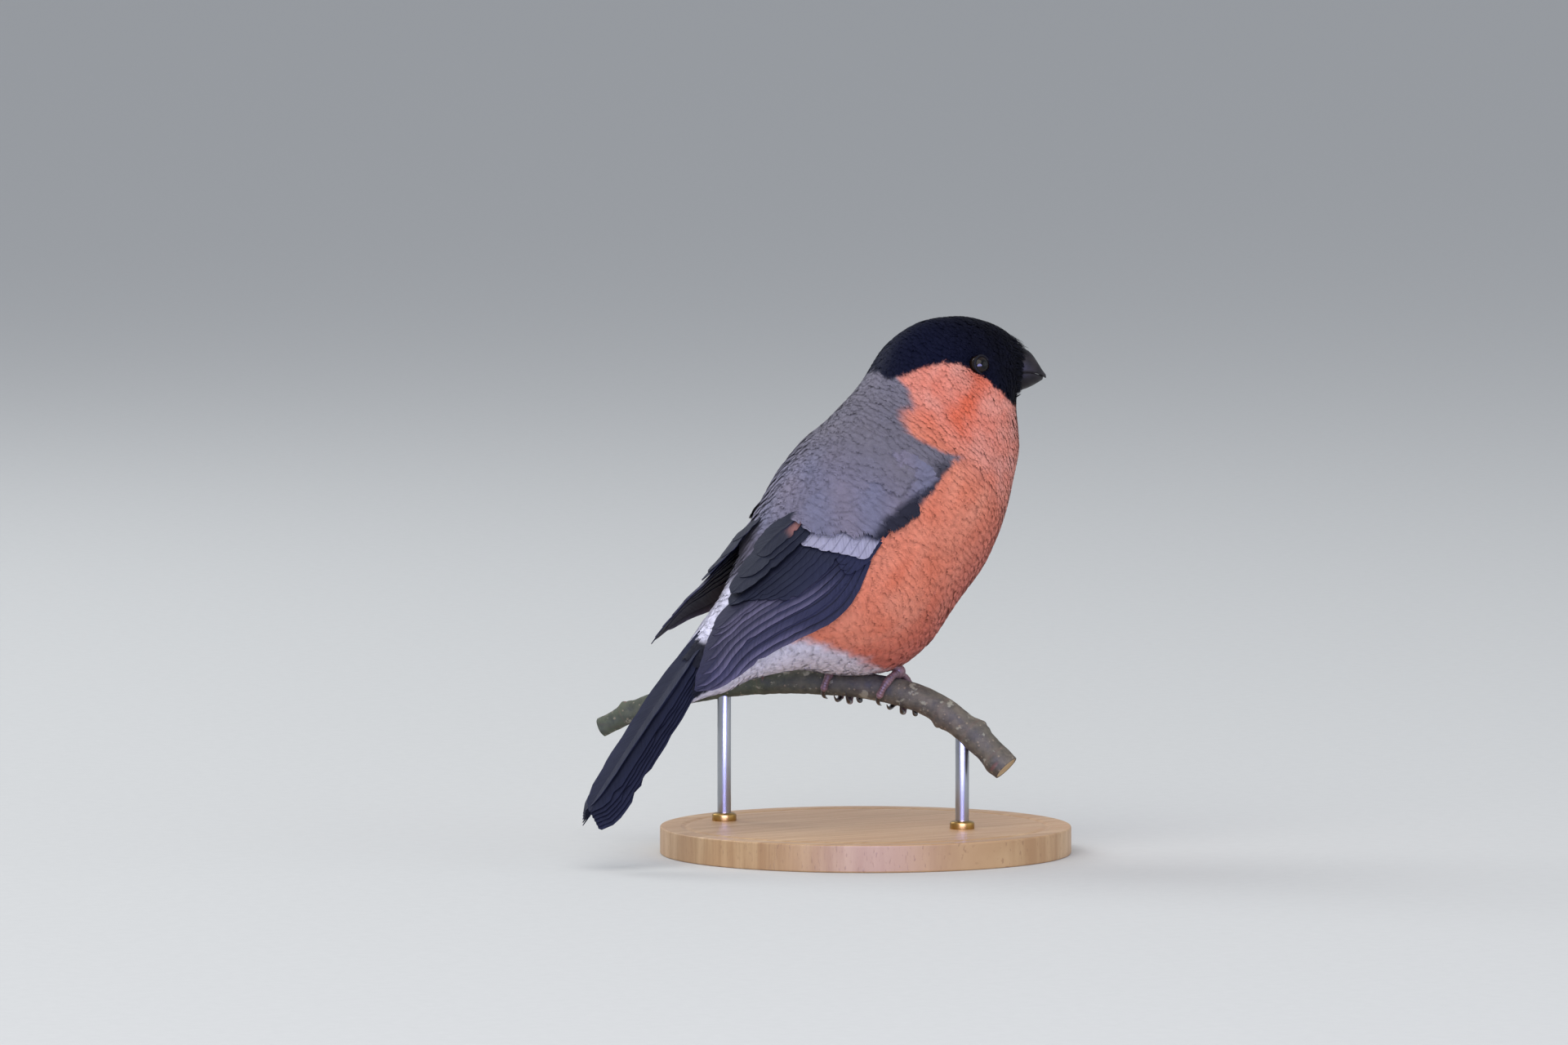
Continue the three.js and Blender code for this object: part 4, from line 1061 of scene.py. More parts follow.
def vane(sheet, root, tip, width, height, lean, shaft_at, camber, tone):
    """One flight feather on a sheet, as points, faces, a colour and a place on the vane for each corner."""
    share = np.linspace(0, 1, VANE_ROWS) ** 0.9
    share[-1] = 0.999
    columns = VANE_COLUMNS
    across = np.where(columns < 0, columns * (1 + shaft_at), columns * (1 - shaft_at)) + shaft_at
    s = root[0] + (tip[0] - root[0]) * share
    v = root[1] + (tip[1] - root[1]) * share
    surface, face = sheet
    middle = surface(s, v)
    _, over, out = slopes(surface, s, v, VANE_STEPS)
    out = -out * face
    along = unit(np.gradient(middle, axis=0))
    side = unit(np.cross(out, along))
    side *= np.where(np.sum(side * over, -1, keepdims=True) < 0, -1, 1)
    half = vane_half(share) * width / 2
    ragged = 1 + draw.uniform(-0.05, 0.03, (VANE_ROWS, 2))
    for _ in range(draw.integers(0, 3)):
        ragged[draw.integers(6, VANE_ROWS - 3), draw.integers(0, 2)] -= draw.uniform(*PARTED_BARBS)
    spread = across[None] * half[:, None]
    spread[:, 0] *= ragged[:, 0]
    spread[:, -1] *= ragged[:, 1]
    away = np.abs(spread - shaft_at * half[:, None])
    level = height - lean * spread * 2 / width - camber * (spread / (width / 2)) ** 2
    ridge = RIDGE * (1 - share * 0.75)[:, None] * (np.abs(columns) < 0.01)
    top = middle[:, None] + side[:, None] * spread[..., None] + out[:, None] * (level + ridge)[..., None]
    bottom = top - out[:, None] * (VANE_THICKNESS + ridge * 0.4)[..., None]
    rings = np.concatenate([top, bottom[:, ::-1]], 1)
    rows, sides = rings.shape[:2]
    quads = tube_faces(rows, sides)
    for base in (0, (rows - 1) * sides):
        for k in range(sides // 2 - 1):
            corners = [base + k, base + k + 1, base + sides - 2 - k, base + sides - 1 - k]
            quads.append(corners[::-1] if base == 0 else corners)
    run = np.cumsum(np.concatenate([[0], np.linalg.norm(np.diff(middle, axis=0), axis=1)]))
    grain = np.stack([np.broadcast_to(run[:, None], away.shape), away, np.zeros_like(away)], -1)
    colours = tone(share[:, None], columns[None])
    colours = np.concatenate([colours, colours[:, ::-1] * UNDERSIDE_SHADE], 1)
    grain = np.concatenate([grain, grain[:, ::-1]], 1)
    return rings.reshape(-1, 3), quads, colours.reshape(-1, 3), grain.reshape(-1, 3)


def blades(name, made, node):
    """Joins many vanes into one piece that takes the place of a node."""
    points, quads, colours, grain = zip(*made)
    faces, count = [], 0
    for vane_points, vane_quads in zip(points, quads):
        faces.extend([[c + count for c in quad] for quad in vane_quads])
        count += len(vane_points)
    mesh = bpy.data.meshes.new(name)
    mesh.from_pydata((np.vstack(points) * MM).tolist(), [], faces)
    paint_points(mesh, "plumage", np.vstack(colours))
    paint_points(mesh, "vane_place", np.vstack(grain))
    piece = faced_outwards(name, mesh)
    bpy.ops.object.shade_smooth_by_angle(angle=math.radians(50))
    settle(piece, name, flight_finish, "flight_feathers", node)


BARB_PITCH = 0.34
BARB_SLANT = 1.25


def firm_vane(wire):
    tone = wire.attribute("plumage")
    place = wire.attribute("vane_place", "Vector")
    along, away = (wire.node("SeparateXYZ", {}, {"Vector": place}, axis) for axis in "XY")
    slant = along - away * BARB_SLANT
    barbs = wire.maths("SINE", slant * (2 * math.pi / BARB_PITCH)) * 0.5 + 0.5
    drawn_out = wire.node("CombineXYZ", {}, {"X": slant * 1.4, "Y": away * 0.25})
    streak = wire.node(
        "TexNoise", {"noise_dimensions": "2D"}, {"Vector": drawn_out, "Scale": 1.0, "Detail": 3.0})
    shaft = 1 - away.between(0.1, 0.22)
    shaded = (barbs * 0.22 + streak.between(0.4, 0.75) * 0.25).blend(tone, (0.006, 0.006, 0.01))
    return {
        "Base Color": (shaft * 0.3).blend(shaded, (0.004, 0.004, 0.005)),
        "Roughness": 0.38 + streak * 0.2 + barbs * 0.08,
        "Normal": wire.relief(barbs * 0.6 + streak * 0.4, 0.05, 0.7),
    }


flight_finish = finish("firm vane", firm_vane, specular_ior_level=0.14, specular_tint=(0.62, 0.67, 1.0))

# The tail: twelve feathers folded into a narrow fan with the middle pair on top, rooted in the rump.
TAIL_ROOT = (-37.1, 19.2 + PERCH_HEIGHT)
TAIL_PITCH = math.radians(49.6)
TAIL_LENGTH = 58.5
TAIL_PAIRS = 6
TAIL_WIDTH = 7.8
TAIL_ROLL = 0.22
TAIL_CAMBER = 0.25
TAIL_LEAN = 0.16


def tail_surface(s, v):
    s, v = np.broadcast_arrays(np.asarray(s, float), np.asarray(v, float))
    reach = s * TAIL_LENGTH
    arch = 0.9 * np.sin(s * math.pi) - 0.06 * v * v - TAIL_ROLL * np.maximum(-v, 0) * smooth_step(s, 0, 0.3)
    x = TAIL_ROOT[0] - reach * math.cos(TAIL_PITCH) - arch * math.sin(TAIL_PITCH)
    return np.stack([x, v, TAIL_ROOT[1] - reach * math.sin(TAIL_PITCH) + arch * math.cos(TAIL_PITCH)], -1)


def tail_tone(share, column):
    base = mixed(TAIL_BLACK, TAIL_EDGE, 0.5 * smooth_step(np.abs(column), 0.55, 1.0))
    return base * (1 + 0.1 * np.sin(share * 9 + column))[..., None]


tail_made = []
for pair in range(TAIL_PAIRS):
    for side in (-1, 1):
        aside = side * (0.75 + 0.4 * pair)
        height = -0.42 * pair - (0.21 if side > 0 else 0)
        tip_share = 1 - 0.007 * (TAIL_PAIRS - 1 - pair)
        root, tip = (0, aside * 0.5), (tip_share, aside * 1.5)
        shaft_at = side * (0.05 + 0.07 * pair)
        tail_made.append(vane((tail_surface, -1), root, tip, TAIL_WIDTH, height, side * TAIL_LEAN, shaft_at,
                              TAIL_CAMBER, tail_tone))
blades("tail_feathers", tail_made, "tail")

# The upper tail coverts: soft feathers that lie over the tail's root, white like the rump in front and
# glossy black behind.
TAIL_STEPS = (0.004, 0.05)
TAIL_COVERT_RANGE = ((-0.07, 0.15), (-4.7, 4.7))
TAIL_COVERT_SPACING = 1.15
TAIL_COVERT_TRIES = 12000


def even_spacing(gap):
    return lambda a, b: np.full(a.shape, gap)


covert_s, covert_v = scattered(
    tail_surface, TAIL_STEPS, TAIL_COVERT_RANGE, even_spacing(TAIL_COVERT_SPACING), TAIL_COVERT_TRIES)
covert_length = draw.uniform(6.6, 8.6, len(covert_s))


def rump_tint(s, v):
    return mixed(BELLY_WHITE, COVERT_AND_SHADOW_BLACK, smooth_step(s, 0.145, 0.165))


covert_lift = 0.3 - 0.1 * covert_v ** 2 + draw.uniform(0, 0.1, len(covert_s))
covert_parts = feathered(tail_surface, TAIL_STEPS, covert_s, covert_v, covert_length, covert_length * 0.24,
                         np.full(len(covert_s), 1.0), covert_lift, -0.02 * covert_v, BODY_BARBS, rump_tint,
                         draw.uniform(0.96, 1.02, len(covert_s)))
covert_places = unwrap(13.2 + covert_s * 7, covert_v / 8)
coat_piece("upper_tail_coverts", covert_parts, covert_places, coat_soft, "body_feathers")

# The wings: folded along the body. The long primaries and secondaries lie lowest, with tertials, greater
# coverts and primary coverts over their roots, and small grey coverts in rows over the front.
TIERS = {
    "primaries": dict(
        width=5.6, height=0.0, lean=0.34, shaft=-0.4, roots=((0.36, 0.1), (0.42, 0.44)),
        tips=((0.93, 0.07), (0.985, 0.2), (1.0, 0.36), (0.985, 0.52), (0.95, 0.62), (0.915, 0.7),
              (0.885, 0.75), (0.86, 0.79), (0.84, 0.82))),
    "secondaries": dict(
        width=6.2, height=0.45, lean=0.34, shaft=-0.25, roots=((0.34, 0.42), (0.36, 0.7)),
        tips=((0.68, 0.5), (0.7, 0.58), (0.715, 0.65), (0.73, 0.71), (0.745, 0.77), (0.76, 0.83))),
    "tertials": dict(
        width=7.4, height=0.9, lean=0.4, shaft=-0.1, roots=((0.3, 0.76), (0.39, 0.9)),
        tips=((0.735, 0.87), (0.675, 0.93), (0.59, 0.97))),
    "primary coverts": dict(
        width=3.4, height=0.7, lean=0.3, shaft=-0.2, roots=((0.2, 0.14), (0.24, 0.24)),
        tips=((0.43, 0.12), (0.46, 0.15), (0.48, 0.19), (0.48, 0.24), (0.47, 0.29))),
    "greater coverts": dict(
        width=4.8, height=1.3, lean=0.1, shaft=-0.15, roots=((0.2, 0.24), (0.22, 0.8)),
        tips=((0.418, 0.175), (0.43, 0.25), (0.444, 0.33), (0.458, 0.41), (0.472, 0.49), (0.484, 0.57),
              (0.492, 0.645), (0.492, 0.715))),
    "alula": dict(
        width=3.0, height=1.3, lean=0.3, shaft=-0.2, roots=((0.08, 0.12), (0.1, 0.18)),
        tips=((0.28, 0.14), (0.26, 0.2))),
}
TERTIAL_RISE = {"left": -0.25, "right": 0.6}


def wing_surface(side):
    """The sheet that a folded wing's feathers lie on, from shoulder to tip and from lower to upper edge."""
    rows = np.array(WING_ROWS[side])
    last = len(rows) - 1
    heights = np.stack([np.arange(len(rows)), rows[:, 3], np.zeros(len(rows))], 1)

    def at(s, v):
        s, v = np.broadcast_arrays(np.asarray(s, float), np.asarray(v, float))
        share = np.clip(s, 0, 1)
        edge = through(rows[:, :3], share * last)
        angle = np.radians(edge[..., 1] + (edge[..., 2] - edge[..., 1]) * v)
        out = through(heights, share * last)[..., 1]
        return body_point(edge[..., 0] + (s - share) * last, SIDES[side] * angle, out)

    return at


def wing_tone(tier, number, count):
    """How one feather of a tier is coloured along and across its vane."""
    def tone(share, column):
        share, column = np.broadcast_arrays(share, column)
        outer = smooth_step(-column, 0.25, 0.95)
        second, amount = WING_MAUVE, np.zeros_like(share)
        if tier == "primaries":
            # The primaries' outer webs turn mauve-grey towards the tips: partly their pale edges, partly a
            # painted sheen.
            start = 0.42 if number < 3 else 0.15
            pale_edge_and_sheen = outer * smooth_step(share, start, start + 0.25) * (0.6 + 0.25 * math.sin(number * 2.3))
            amount = np.clip(pale_edge_and_sheen + 0.18 * share, 0, 1)
        elif tier == "greater coverts":
            second, amount = WING_BAR, smooth_step(share + 0.04 * column ** 2, 0.6, 0.74)
        elif tier == "tertials" and number == count - 1:
            second = TERTIAL_PINK
            amount = 0.8 * smooth_step(-column, 0.1, 0.45) * (1 - smooth_step(share, 0.25, 0.45))
        elif tier == "secondaries":
            second, amount = SECONDARY_EDGE, outer * 0.8 + 0.1 * number / (count - 1)
        return mixed(WING_BLACK, second, amount)

    return tone


COVERT_RANGE = ((-0.03, 0.42), (0.0, 0.88))
COVERTS_LOW = [(0.2, 0.0), (0.27, 0.05), (0.31, 0.13), (0.34, 0.12), (0.4, 0.07)]
COVERTS_END = [(0, 0.28), (0.08, 0.31), (0.15, 0.35), (0.29, 0.372), (0.38, 0.388), (0.54, 0.424),
               (0.7, 0.446), (0.82, 0.44), (0.9, 0.42)]
COVERT_STEPS = (0.003, 0.01)
COVERT_LENGTH = [(-0.03, 3.6), (0.1, 4.6), (0.31, 6.0)]
COVERT_SPACING = 1.05
COVERT_TRIES = 26000
COVERT_BLACK_AND_SHADOW_EDGE = [(0.0, 0.04), (0.06, 0.09), (0.14, 0.1), (0.28, 0.13)]
VANE_CAMBER = 0.22
FLESH = dict(reach=0.56, swell=2.1, sunk=0.2, bottom=2.4, low=0.13, high=0.9)


def flesh_rise(s, v):
    rise = FLESH["swell"] * within(s, -0.03, 0.08, 0.16, 0.4) - FLESH["sunk"]
    return rise * (1 - 0.5 * np.clip(2 * v - 1, -1, 1) ** 4)


def covert_tint(s, v):
    # Along the wing's front edge the grey turns black: partly the black of the small coverts there, partly a
    # painted shadow where the wing meets the breast.
    width = read(COVERT_BLACK_AND_SHADOW_EDGE, s)
    edge = 1 - smooth_step(v, width, width + 0.11)
    edge = edge * (0.65 + 0.3 * smooth_step(s, 0.03, 0.14))
    grey = mixed(MANTLE_GREY, MANTLE_MAUVE, 0.45 + 0.25 * np.sin(s * 30 + v * 8))
    return mixed(grey, COVERT_AND_SHADOW_BLACK, edge)


for side, mirror in SIDES.items():
    at = wing_surface(side)
    made = []
    for tier, form in TIERS.items():
        count = len(form["tips"])
        first_root, last_root = np.array(form["roots"])
        for number, tip in enumerate(form["tips"]):
            root = first_root + (last_root - first_root) * number / (count - 1)
            tip = (tip[0] + draw.uniform(-0.004, 0.004), tip[1] + draw.uniform(-0.006, 0.006))
            width = form["width"] * draw.uniform(0.96, 1.05)
            height = form["height"] + (TERTIAL_RISE[side] if tier == "tertials" else 0)
            height += draw.uniform(-0.03, 0.03)
            made.append(vane((at, mirror), root, tip, width, height, form["lean"], form["shaft"], VANE_CAMBER,
                             wing_tone(tier, number, count)))
    blades(f"wing_{side}_feathers", made, f"wing_{side}")

    grid_s, grid_v = np.meshgrid(
        np.linspace(-0.02, FLESH["reach"], 28), np.linspace(FLESH["low"], FLESH["high"], 16), indexing="ij")
    _, _, out = slopes(at, grid_s, grid_v, COVERT_STEPS)
    out *= -mirror
    top = at(grid_s, grid_v) + out * (flesh_rise(grid_s, grid_v) - 0.35)[..., None]
    bottom = at(grid_s, grid_v) - out * FLESH["bottom"]
    flesh_tones = np.concatenate([covert_tint(grid_s, grid_v)] * 2, 1)
    flesh = lofted("flesh", np.concatenate([top, bottom[:, ::-1]], 1), plumage=flesh_tones)
    settle(flesh, f"wing_{side}_flesh", down_finish, "body_feathers")

    def bed(s, v):
        """The wing's sheet, with its second coordinate the other way on the left side, so it faces out."""
        return at(s, -mirror * v)

    def bed_tint(s, v):
        return covert_tint(s, -mirror * v)

    s, v = scattered(at, COVERT_STEPS, COVERT_RANGE, even_spacing(COVERT_SPACING), COVERT_TRIES)
    length = read(COVERT_LENGTH, s) * draw.uniform(0.9, 1.1, len(s))
    span = length / np.linalg.norm(slopes(at, s, v, COVERT_STEPS)[0], axis=-1)
    kept = (s + span < read(COVERTS_END, v)) & (v > read(COVERTS_LOW, s + 0.5 * span))
    s, v, length = (x[kept] for x in (s, v, length))
    lift = np.maximum(flesh_rise(s + 0.04, v), 2.05 * smooth_step(s, 0.1, 0.16))
    lift += 0.35 * smooth_step(v, 0.5, 0.7) * smooth_step(s, 0.15, 0.25) + draw.uniform(0.0, 0.05, len(s))
    swing = draw.uniform(-0.06, 0.06, len(s))
    parts = feathered(bed, COVERT_STEPS, s, -mirror * v, length, length * 0.32, np.full(len(s), 0.8), lift,
                      swing, BODY_BARBS, bed_tint, draw.uniform(0.97, 1.03, len(s)))
    places = unwrap(7.0 + s * 8.6, mirror * np.radians(80 - 55 * v))
    coat_piece(f"wing_{side}_coverts", parts, places, coat_soft, "body_feathers")

# The bill: short, deep and swollen, of dark horn, in an upper and a lower half that close on each other.
# The upper half has a small hook and a pair of nostrils at its root, half covered by bristles.
BILL_ROOT_X = 36.9
BILL_GAPE_Z = 67.4 + PERCH_HEIGHT
BILL_LENGTH = 6.9
BILL_GAP = 0.3
BILL_HALF_WIDTH = 4.2
BILL_LEAN = math.tan(math.radians(6))
CULMEN = (5.1, 4.95, 4.5, 3.7, 2.6, 1.4, 0.5)
KEEL = (3.9, 3.8, 3.4, 2.7, 1.8, 0.8)
BILL_HOOK = 0.7
BILL_RINGS = 44
BILL_SIDES = 30
NOSTRIL = (1.1, 2.9, 3.4)
NOSTRIL_DEPTH = 0.7
TIP_DROOP = 0.28


def bill_half(name, heights, sign, length):
    share = np.linspace(0, 1, BILL_RINGS)
    knots = np.stack([np.arange(len(heights)), heights, np.zeros(len(heights))], 1)
    height = through(knots, share * (len(heights) - 1))[:, 1]
    reach = length * share ** 0.85
    bite = reach / BILL_LENGTH
    gape = BILL_GAPE_Z - 1.0 * bite + 0.5 * np.sin(bite * math.pi) + sign * 0.04
    half = BILL_HALF_WIDTH * np.sqrt(1 - (0.985 * share) ** 2.2)
    angle = np.linspace(0, math.pi, BILL_SIDES)
    keel_line = 1 + 0.035 * np.exp(-((angle - math.pi / 2) / 0.16) ** 2)
    z = gape[:, None] + sign * height[:, None] * (np.sin(angle) ** 0.9 * keel_line)[None]
    x = BILL_ROOT_X + BILL_GAP * 0.3 + reach[:, None] + (z - BILL_GAPE_Z) * BILL_LEAN * (1 - share)[:, None]
    y = half[:, None] * np.cos(angle)[None]
    root = 1 - smooth_step(share, 0.0, 0.05)
    points = np.stack([x - 0.9 * root[:, None], y, z], -1)
    if sign > 0:
        for flank in (-1, 1):
            spot = np.array([BILL_ROOT_X + NOSTRIL[0], flank * NOSTRIL[1], BILL_GAPE_Z + NOSTRIL[2]])
            gap = np.linalg.norm((points - spot) * (0.8, 1, 1.2), axis=-1)
            points[..., 1] -= flank * NOSTRIL_DEPTH * np.exp(-(gap / 0.5) ** 2)
        droop = smooth_step(share, 0.8, 1.0)[:, None] * (1 - np.sin(angle))[None]
        points[..., 2] -= TIP_DROOP * droop
    return lofted(name, turned(points, 1.0))


def horn(wire):
    growth = wire.cloud((3.5, 3.5, 0.6), 3.0, 0.55, turn=(0, math.radians(20), math.radians(-25)))
    stain = wire.cloud(2.4)
    tone = stain.between(0.3, 0.7).blend(colour(22, 20, 23), colour(42, 38, 41))
    return {
        "Base Color": (growth.between(0.5, 0.8) * 0.35).blend(tone, colour(46, 40, 41)),
        "Roughness": 0.42 + growth * 0.25,
        "Normal": wire.relief(growth * 0.7 + stain * 0.3, 0.07, 0.7),
    }


bill_finish = finish("bill horn", horn, specular_ior_level=0.22)
BILL_HALVES = {"upper": (CULMEN, 1, BILL_LENGTH), "lower": (KEEL, -1, BILL_LENGTH - BILL_HOOK)}
for name, form in BILL_HALVES.items():
    half = bill_half(name, *form)
    settle(half, f"bill_{name}_horn", bill_finish, "bill_horn", f"bill_{name}")

# Bristles: short stiff black feathers at the bill's root that lie forwards over the nostrils and gape.
BRISTLES = 640
bristle_t = draw.uniform(0.05, 1.1, BRISTLES)
bristle_angle = draw.uniform(-math.pi, math.pi, BRISTLES) * draw.uniform(0.5, 1.0, BRISTLES)
bristle_root = body_point(bristle_t, bristle_angle, -0.15)
_, _, bristle_out = body_slopes(bristle_t, bristle_angle)
over_bill = np.exp(-(bristle_angle / 1.1) ** 2)
bristle_aim = turned(np.stack([
    BILL_ROOT_X + draw.uniform(1.0, 2.2, BRISTLES) + 1.2 * over_bill, 3.5 * np.sin(bristle_angle),
    BILL_GAPE_Z + (4.3 + 0.9 * over_bill) * np.cos(bristle_angle)], -1), 1.0)
bristle_points, bristle_faces, bristle_tones, bristle_normals = [], [], [], []
for number in range(BRISTLES):
    size = draw.uniform(1.1, 2.0) * (1 + 0.75 * over_bill[number])
    outwards = bristle_out[number]
    heading = unit(unit(bristle_aim[number] - bristle_root[number]) + 0.1 * draw.normal(size=3))
    wide = unit(np.cross(heading, outwards)) * 0.12
    root = bristle_root[number]
    middle = root + heading * size * 0.5 + outwards * 0.35
    tip = root + heading * size + outwards * 0.2
    first = len(bristle_points)
    bristle_points += [root - wide, root + wide, middle - wide * 0.8, middle + wide * 0.8, tip]
    bristle_faces += [(first, first + 1, first + 2), (first + 1, first + 3, first + 2),
                      (first + 2, first + 3, first + 4)]
    bristle_tones += [np.array(FACE_BLACK) * draw.uniform(0.7, 1.4)] * 5
    bristle_normals += [outwards] * 5
bristle_patch = np.array([(-0.5, -0.5), (-0.5, 0.5), (0, -0.4), (0, 0.4), (0.5, 0)]) * PATCH
bristle_places = (unwrap(bristle_t, bristle_angle)[:, None] + bristle_patch).reshape(1, -1, 2)
bristle_block = (np.array(bristle_points)[None], np.array(bristle_faces), np.array(bristle_tones)[None],
                 np.array(bristle_normals)[None], bristle_places, np.array([0]))
coat_piece("bill_bristles", [bristle_block], np.zeros((1, 2)), coat_gloss, "cap_feathers")

# The eyes: dark brown glass balls in the sockets, each with a wide black pupil and a bare rim of fine black
# lid round it, open as in life.
LID_CREASES = 26
EYE_SPLAY = math.radians(28)
EYE_RISE = math.radians(12)
CORNEA_BULGE = 0.07
LID_THICKNESS = 0.26


def eye_glass(wire):
    tone = wire.attribute("iris", "Fac")
    fine = wire.cloud(0.3, 2.0)
    brown = fine.blend(colour(22, 15, 12), colour(36, 24, 18))
    pupil = tone.between(0.42, 0.52).blend((0.002, 0.002, 0.003), brown)
    return {"Base Color": pupil, "Roughness": fine * 0.02 + 0.03}


def lid_skin(wire):
    grain = wire.cloud(0.35)
    return {
        "Base Color": grain.blend(colour(7, 7, 9), colour(17, 16, 19)),
        "Roughness": 0.6 + grain * 0.2,
        "Normal": wire.relief(grain, 0.05),
    }


glass = finish(
    "eye glass", eye_glass, coat_weight=0.75, coat_roughness=0.02, coat_ior=1.4, specular_ior_level=0.0)
lids = finish("lid skin", lid_skin, specular_ior_level=0.2)
for name, side in SIDES.items():
    level = math.cos(EYE_RISE)
    look = np.array([math.sin(EYE_SPLAY) * level, side * math.cos(EYE_SPLAY) * level, math.sin(EYE_RISE)])
    look = turned(look + (HEAD_PIVOT_X, 0, 0), 1.0) - (HEAD_PIVOT_X, 0, 0)
    facing = Vector(look).to_track_quat("Z", "Y").to_euler()
    centre = Vector(eye_middle[side] * MM)
    nothing_selected()
    bpy.ops.mesh.primitive_uv_sphere_add(segments=64, ring_count=40, radius=EYE_RADIUS * MM)
    ball = bpy.context.object
    heights = np.array([v.co.z for v in ball.data.vertices]) / (EYE_RADIUS * MM)
    for vertex, height in zip(ball.data.vertices, heights):
        vertex.co.z *= 1 + CORNEA_BULGE * max(0, height - 0.6) / 0.4
    iris = np.sqrt(np.clip(1 - heights ** 2, 0, 1)) + (heights < 0)
    paint_points(ball.data, "iris", iris[:, None])
    bpy.ops.object.shade_smooth()
    ball.rotation_euler = facing
    ball.location = centre
    settle(ball, f"eye_{name}_glass", glass, "eye_surface", f"eye_{name}")
    nothing_selected()
    opening = EYE_RADIUS * math.sqrt(1 - LID_SHARE ** 2) + 0.1
    bpy.ops.mesh.primitive_torus_add(major_segments=LID_CREASES * 6, minor_segments=16,
                                     major_radius=opening * MM, minor_radius=LID_THICKNESS * MM)
    lid = bpy.context.object
    for vertex in lid.data.vertices:
        turn = math.atan2(vertex.co.y, vertex.co.x)
        swell = 1 + 0.012 * math.cos(turn * LID_CREASES) + 0.008 * math.cos(turn * 17 + 1)
        oval = 1 + 0.04 * math.cos(2 * turn)
        vertex.co.x *= swell * oval
        vertex.co.y *= swell / oval
    bpy.ops.object.shade_smooth()
    lid.rotation_euler = facing
    lid.location = centre + Vector(look) * (EYE_RADIUS * LID_SHARE * MM)
    settle(lid, f"eyelid_{name}", lids, "cap_feathers")

# Legs and feet: slender shanks and toes covered with overlapping scutes of pinkish brown horn, with soft
# pads beneath. Three toes go over the front of the twig and one goes behind it.
TOES = {
    "inner": dict(start=18, end=150, spread=-2.5, slant=1.9, radius=0.78, forward=1),
    "middle": dict(start=20, end=182, spread=0.0, slant=2.6, radius=0.84, forward=1),
    "outer": dict(start=18, end=158, spread=2.6, slant=2.4, radius=0.76, forward=1),
    "hind": dict(start=14, end=112, spread=0.0, slant=-2.2, radius=0.88, forward=-1),
}
TOE_RINGS = 120
PALM_HEIGHT = 1.55
PALM_RADIUS = 1.5
CLAW_RINGS = 26
CLAW_SINK = 5
CLAW_TURN = 65
CLAW_RADIUS = 0.56
SHANK = dict(back=6.5, out=2.0, rise=14, radius=1.0, heel=0.5)


def foot_frame(place):
    share = np.linspace(0, 1, 400)
    centres = twig_frame(share)[0]
    best = share[np.argmin(np.abs(twig_place(centres) - place))]
    centre, along, _, _ = (x[0] for x in twig_frame(np.array([best])))
    front = unit(np.cross(UP, along))
    up = np.cross(along, front)
    return dict(centre=centre, along=along, front=front, up=up, radius=float(twig_radius(best)))


def grip_points(grip, angle, out, along, forward):
    angle = np.radians(angle)[:, None]
    reach = (grip["radius"] + out)[:, None]
    return (grip["centre"] + grip["along"] * along[:, None] + grip["up"] * reach * np.cos(angle)
            + grip["front"] * forward * reach * np.sin(angle))


def away_from_twig(grip, path):
    """The ways from the twig's middle line to the points of a path round it."""
    out = path - grip["centre"]
    return unit(out - grip["along"] * (out @ grip["along"])[:, None])


def toe_path(grip, toe, first, last, count, side):
    angle = np.linspace(first, last, count)
    reach = np.clip((angle - toe["start"]) / (toe["end"] - toe["start"]), 0, 2)
    loose = 0.28 + toe["radius"] - 0.45 * smooth_step(reach, 1.1, 1.5) + 0.15 * (1 - np.minimum(reach, 1))
    along = (toe["slant"] - side * toe["spread"]) * np.minimum(reach, 1.1)
    return grip_points(grip, angle, loose, along, toe["forward"])


def tapered(path, radius, sides, away, scutes=0, depth=0.06):
    """Rings round a path with overlapping scutes on the side that faces away, and the scutes' seams."""
    along = unit(np.gradient(path, axis=0))
    across = unit(np.cross(along, away))
    up = np.cross(across, along)
    angle = np.linspace(0, 2 * math.pi, sides, endpoint=False)
    share = np.linspace(0, 1, len(path))
    saw = (share * scutes) % 1
    facing = np.clip(np.cos(angle) * 1.6 + 0.3, 0, 1)
    reach = radius[:, None] * (1 + depth * (saw[:, None] - 0.5) * facing[None])
    seam = np.maximum(smooth_step(saw, 0.78, 0.98), 1 - smooth_step(saw, 0, 0.1))[:, None] * facing[None]
    return path[:, None] + spoke_fan(across, up, angle) * reach[..., None], seam[..., None]


def scaly(wire):
    grain = wire.cloud(0.5)
    patch = wire.cloud(2.5, 2.0)
    seam = wire.attribute("seam", "Fac")
    tone = patch.between(0.35, 0.65).blend(colour(150, 114, 122), colour(114, 86, 92))
    tone = (grain.between(0.45, 0.75) * 0.4).blend(tone, colour(84, 62, 68))
    return {
        "Base Color": (seam * 0.6).blend(tone, colour(62, 44, 50)),
        "Roughness": 0.5 + grain * 0.2,
        "Normal": wire.relief(grain * 0.4 - seam * 0.6, 0.08),
    }


def claw_horn(wire):
    growth = wire.cloud(0.8, 2.0)
    return {
        "Base Color": growth.blend(colour(34, 28, 29), colour(66, 56, 54)),
        "Roughness": 0.28 + growth * 0.15,
        "Normal": wire.relief(growth, 0.03),
    }


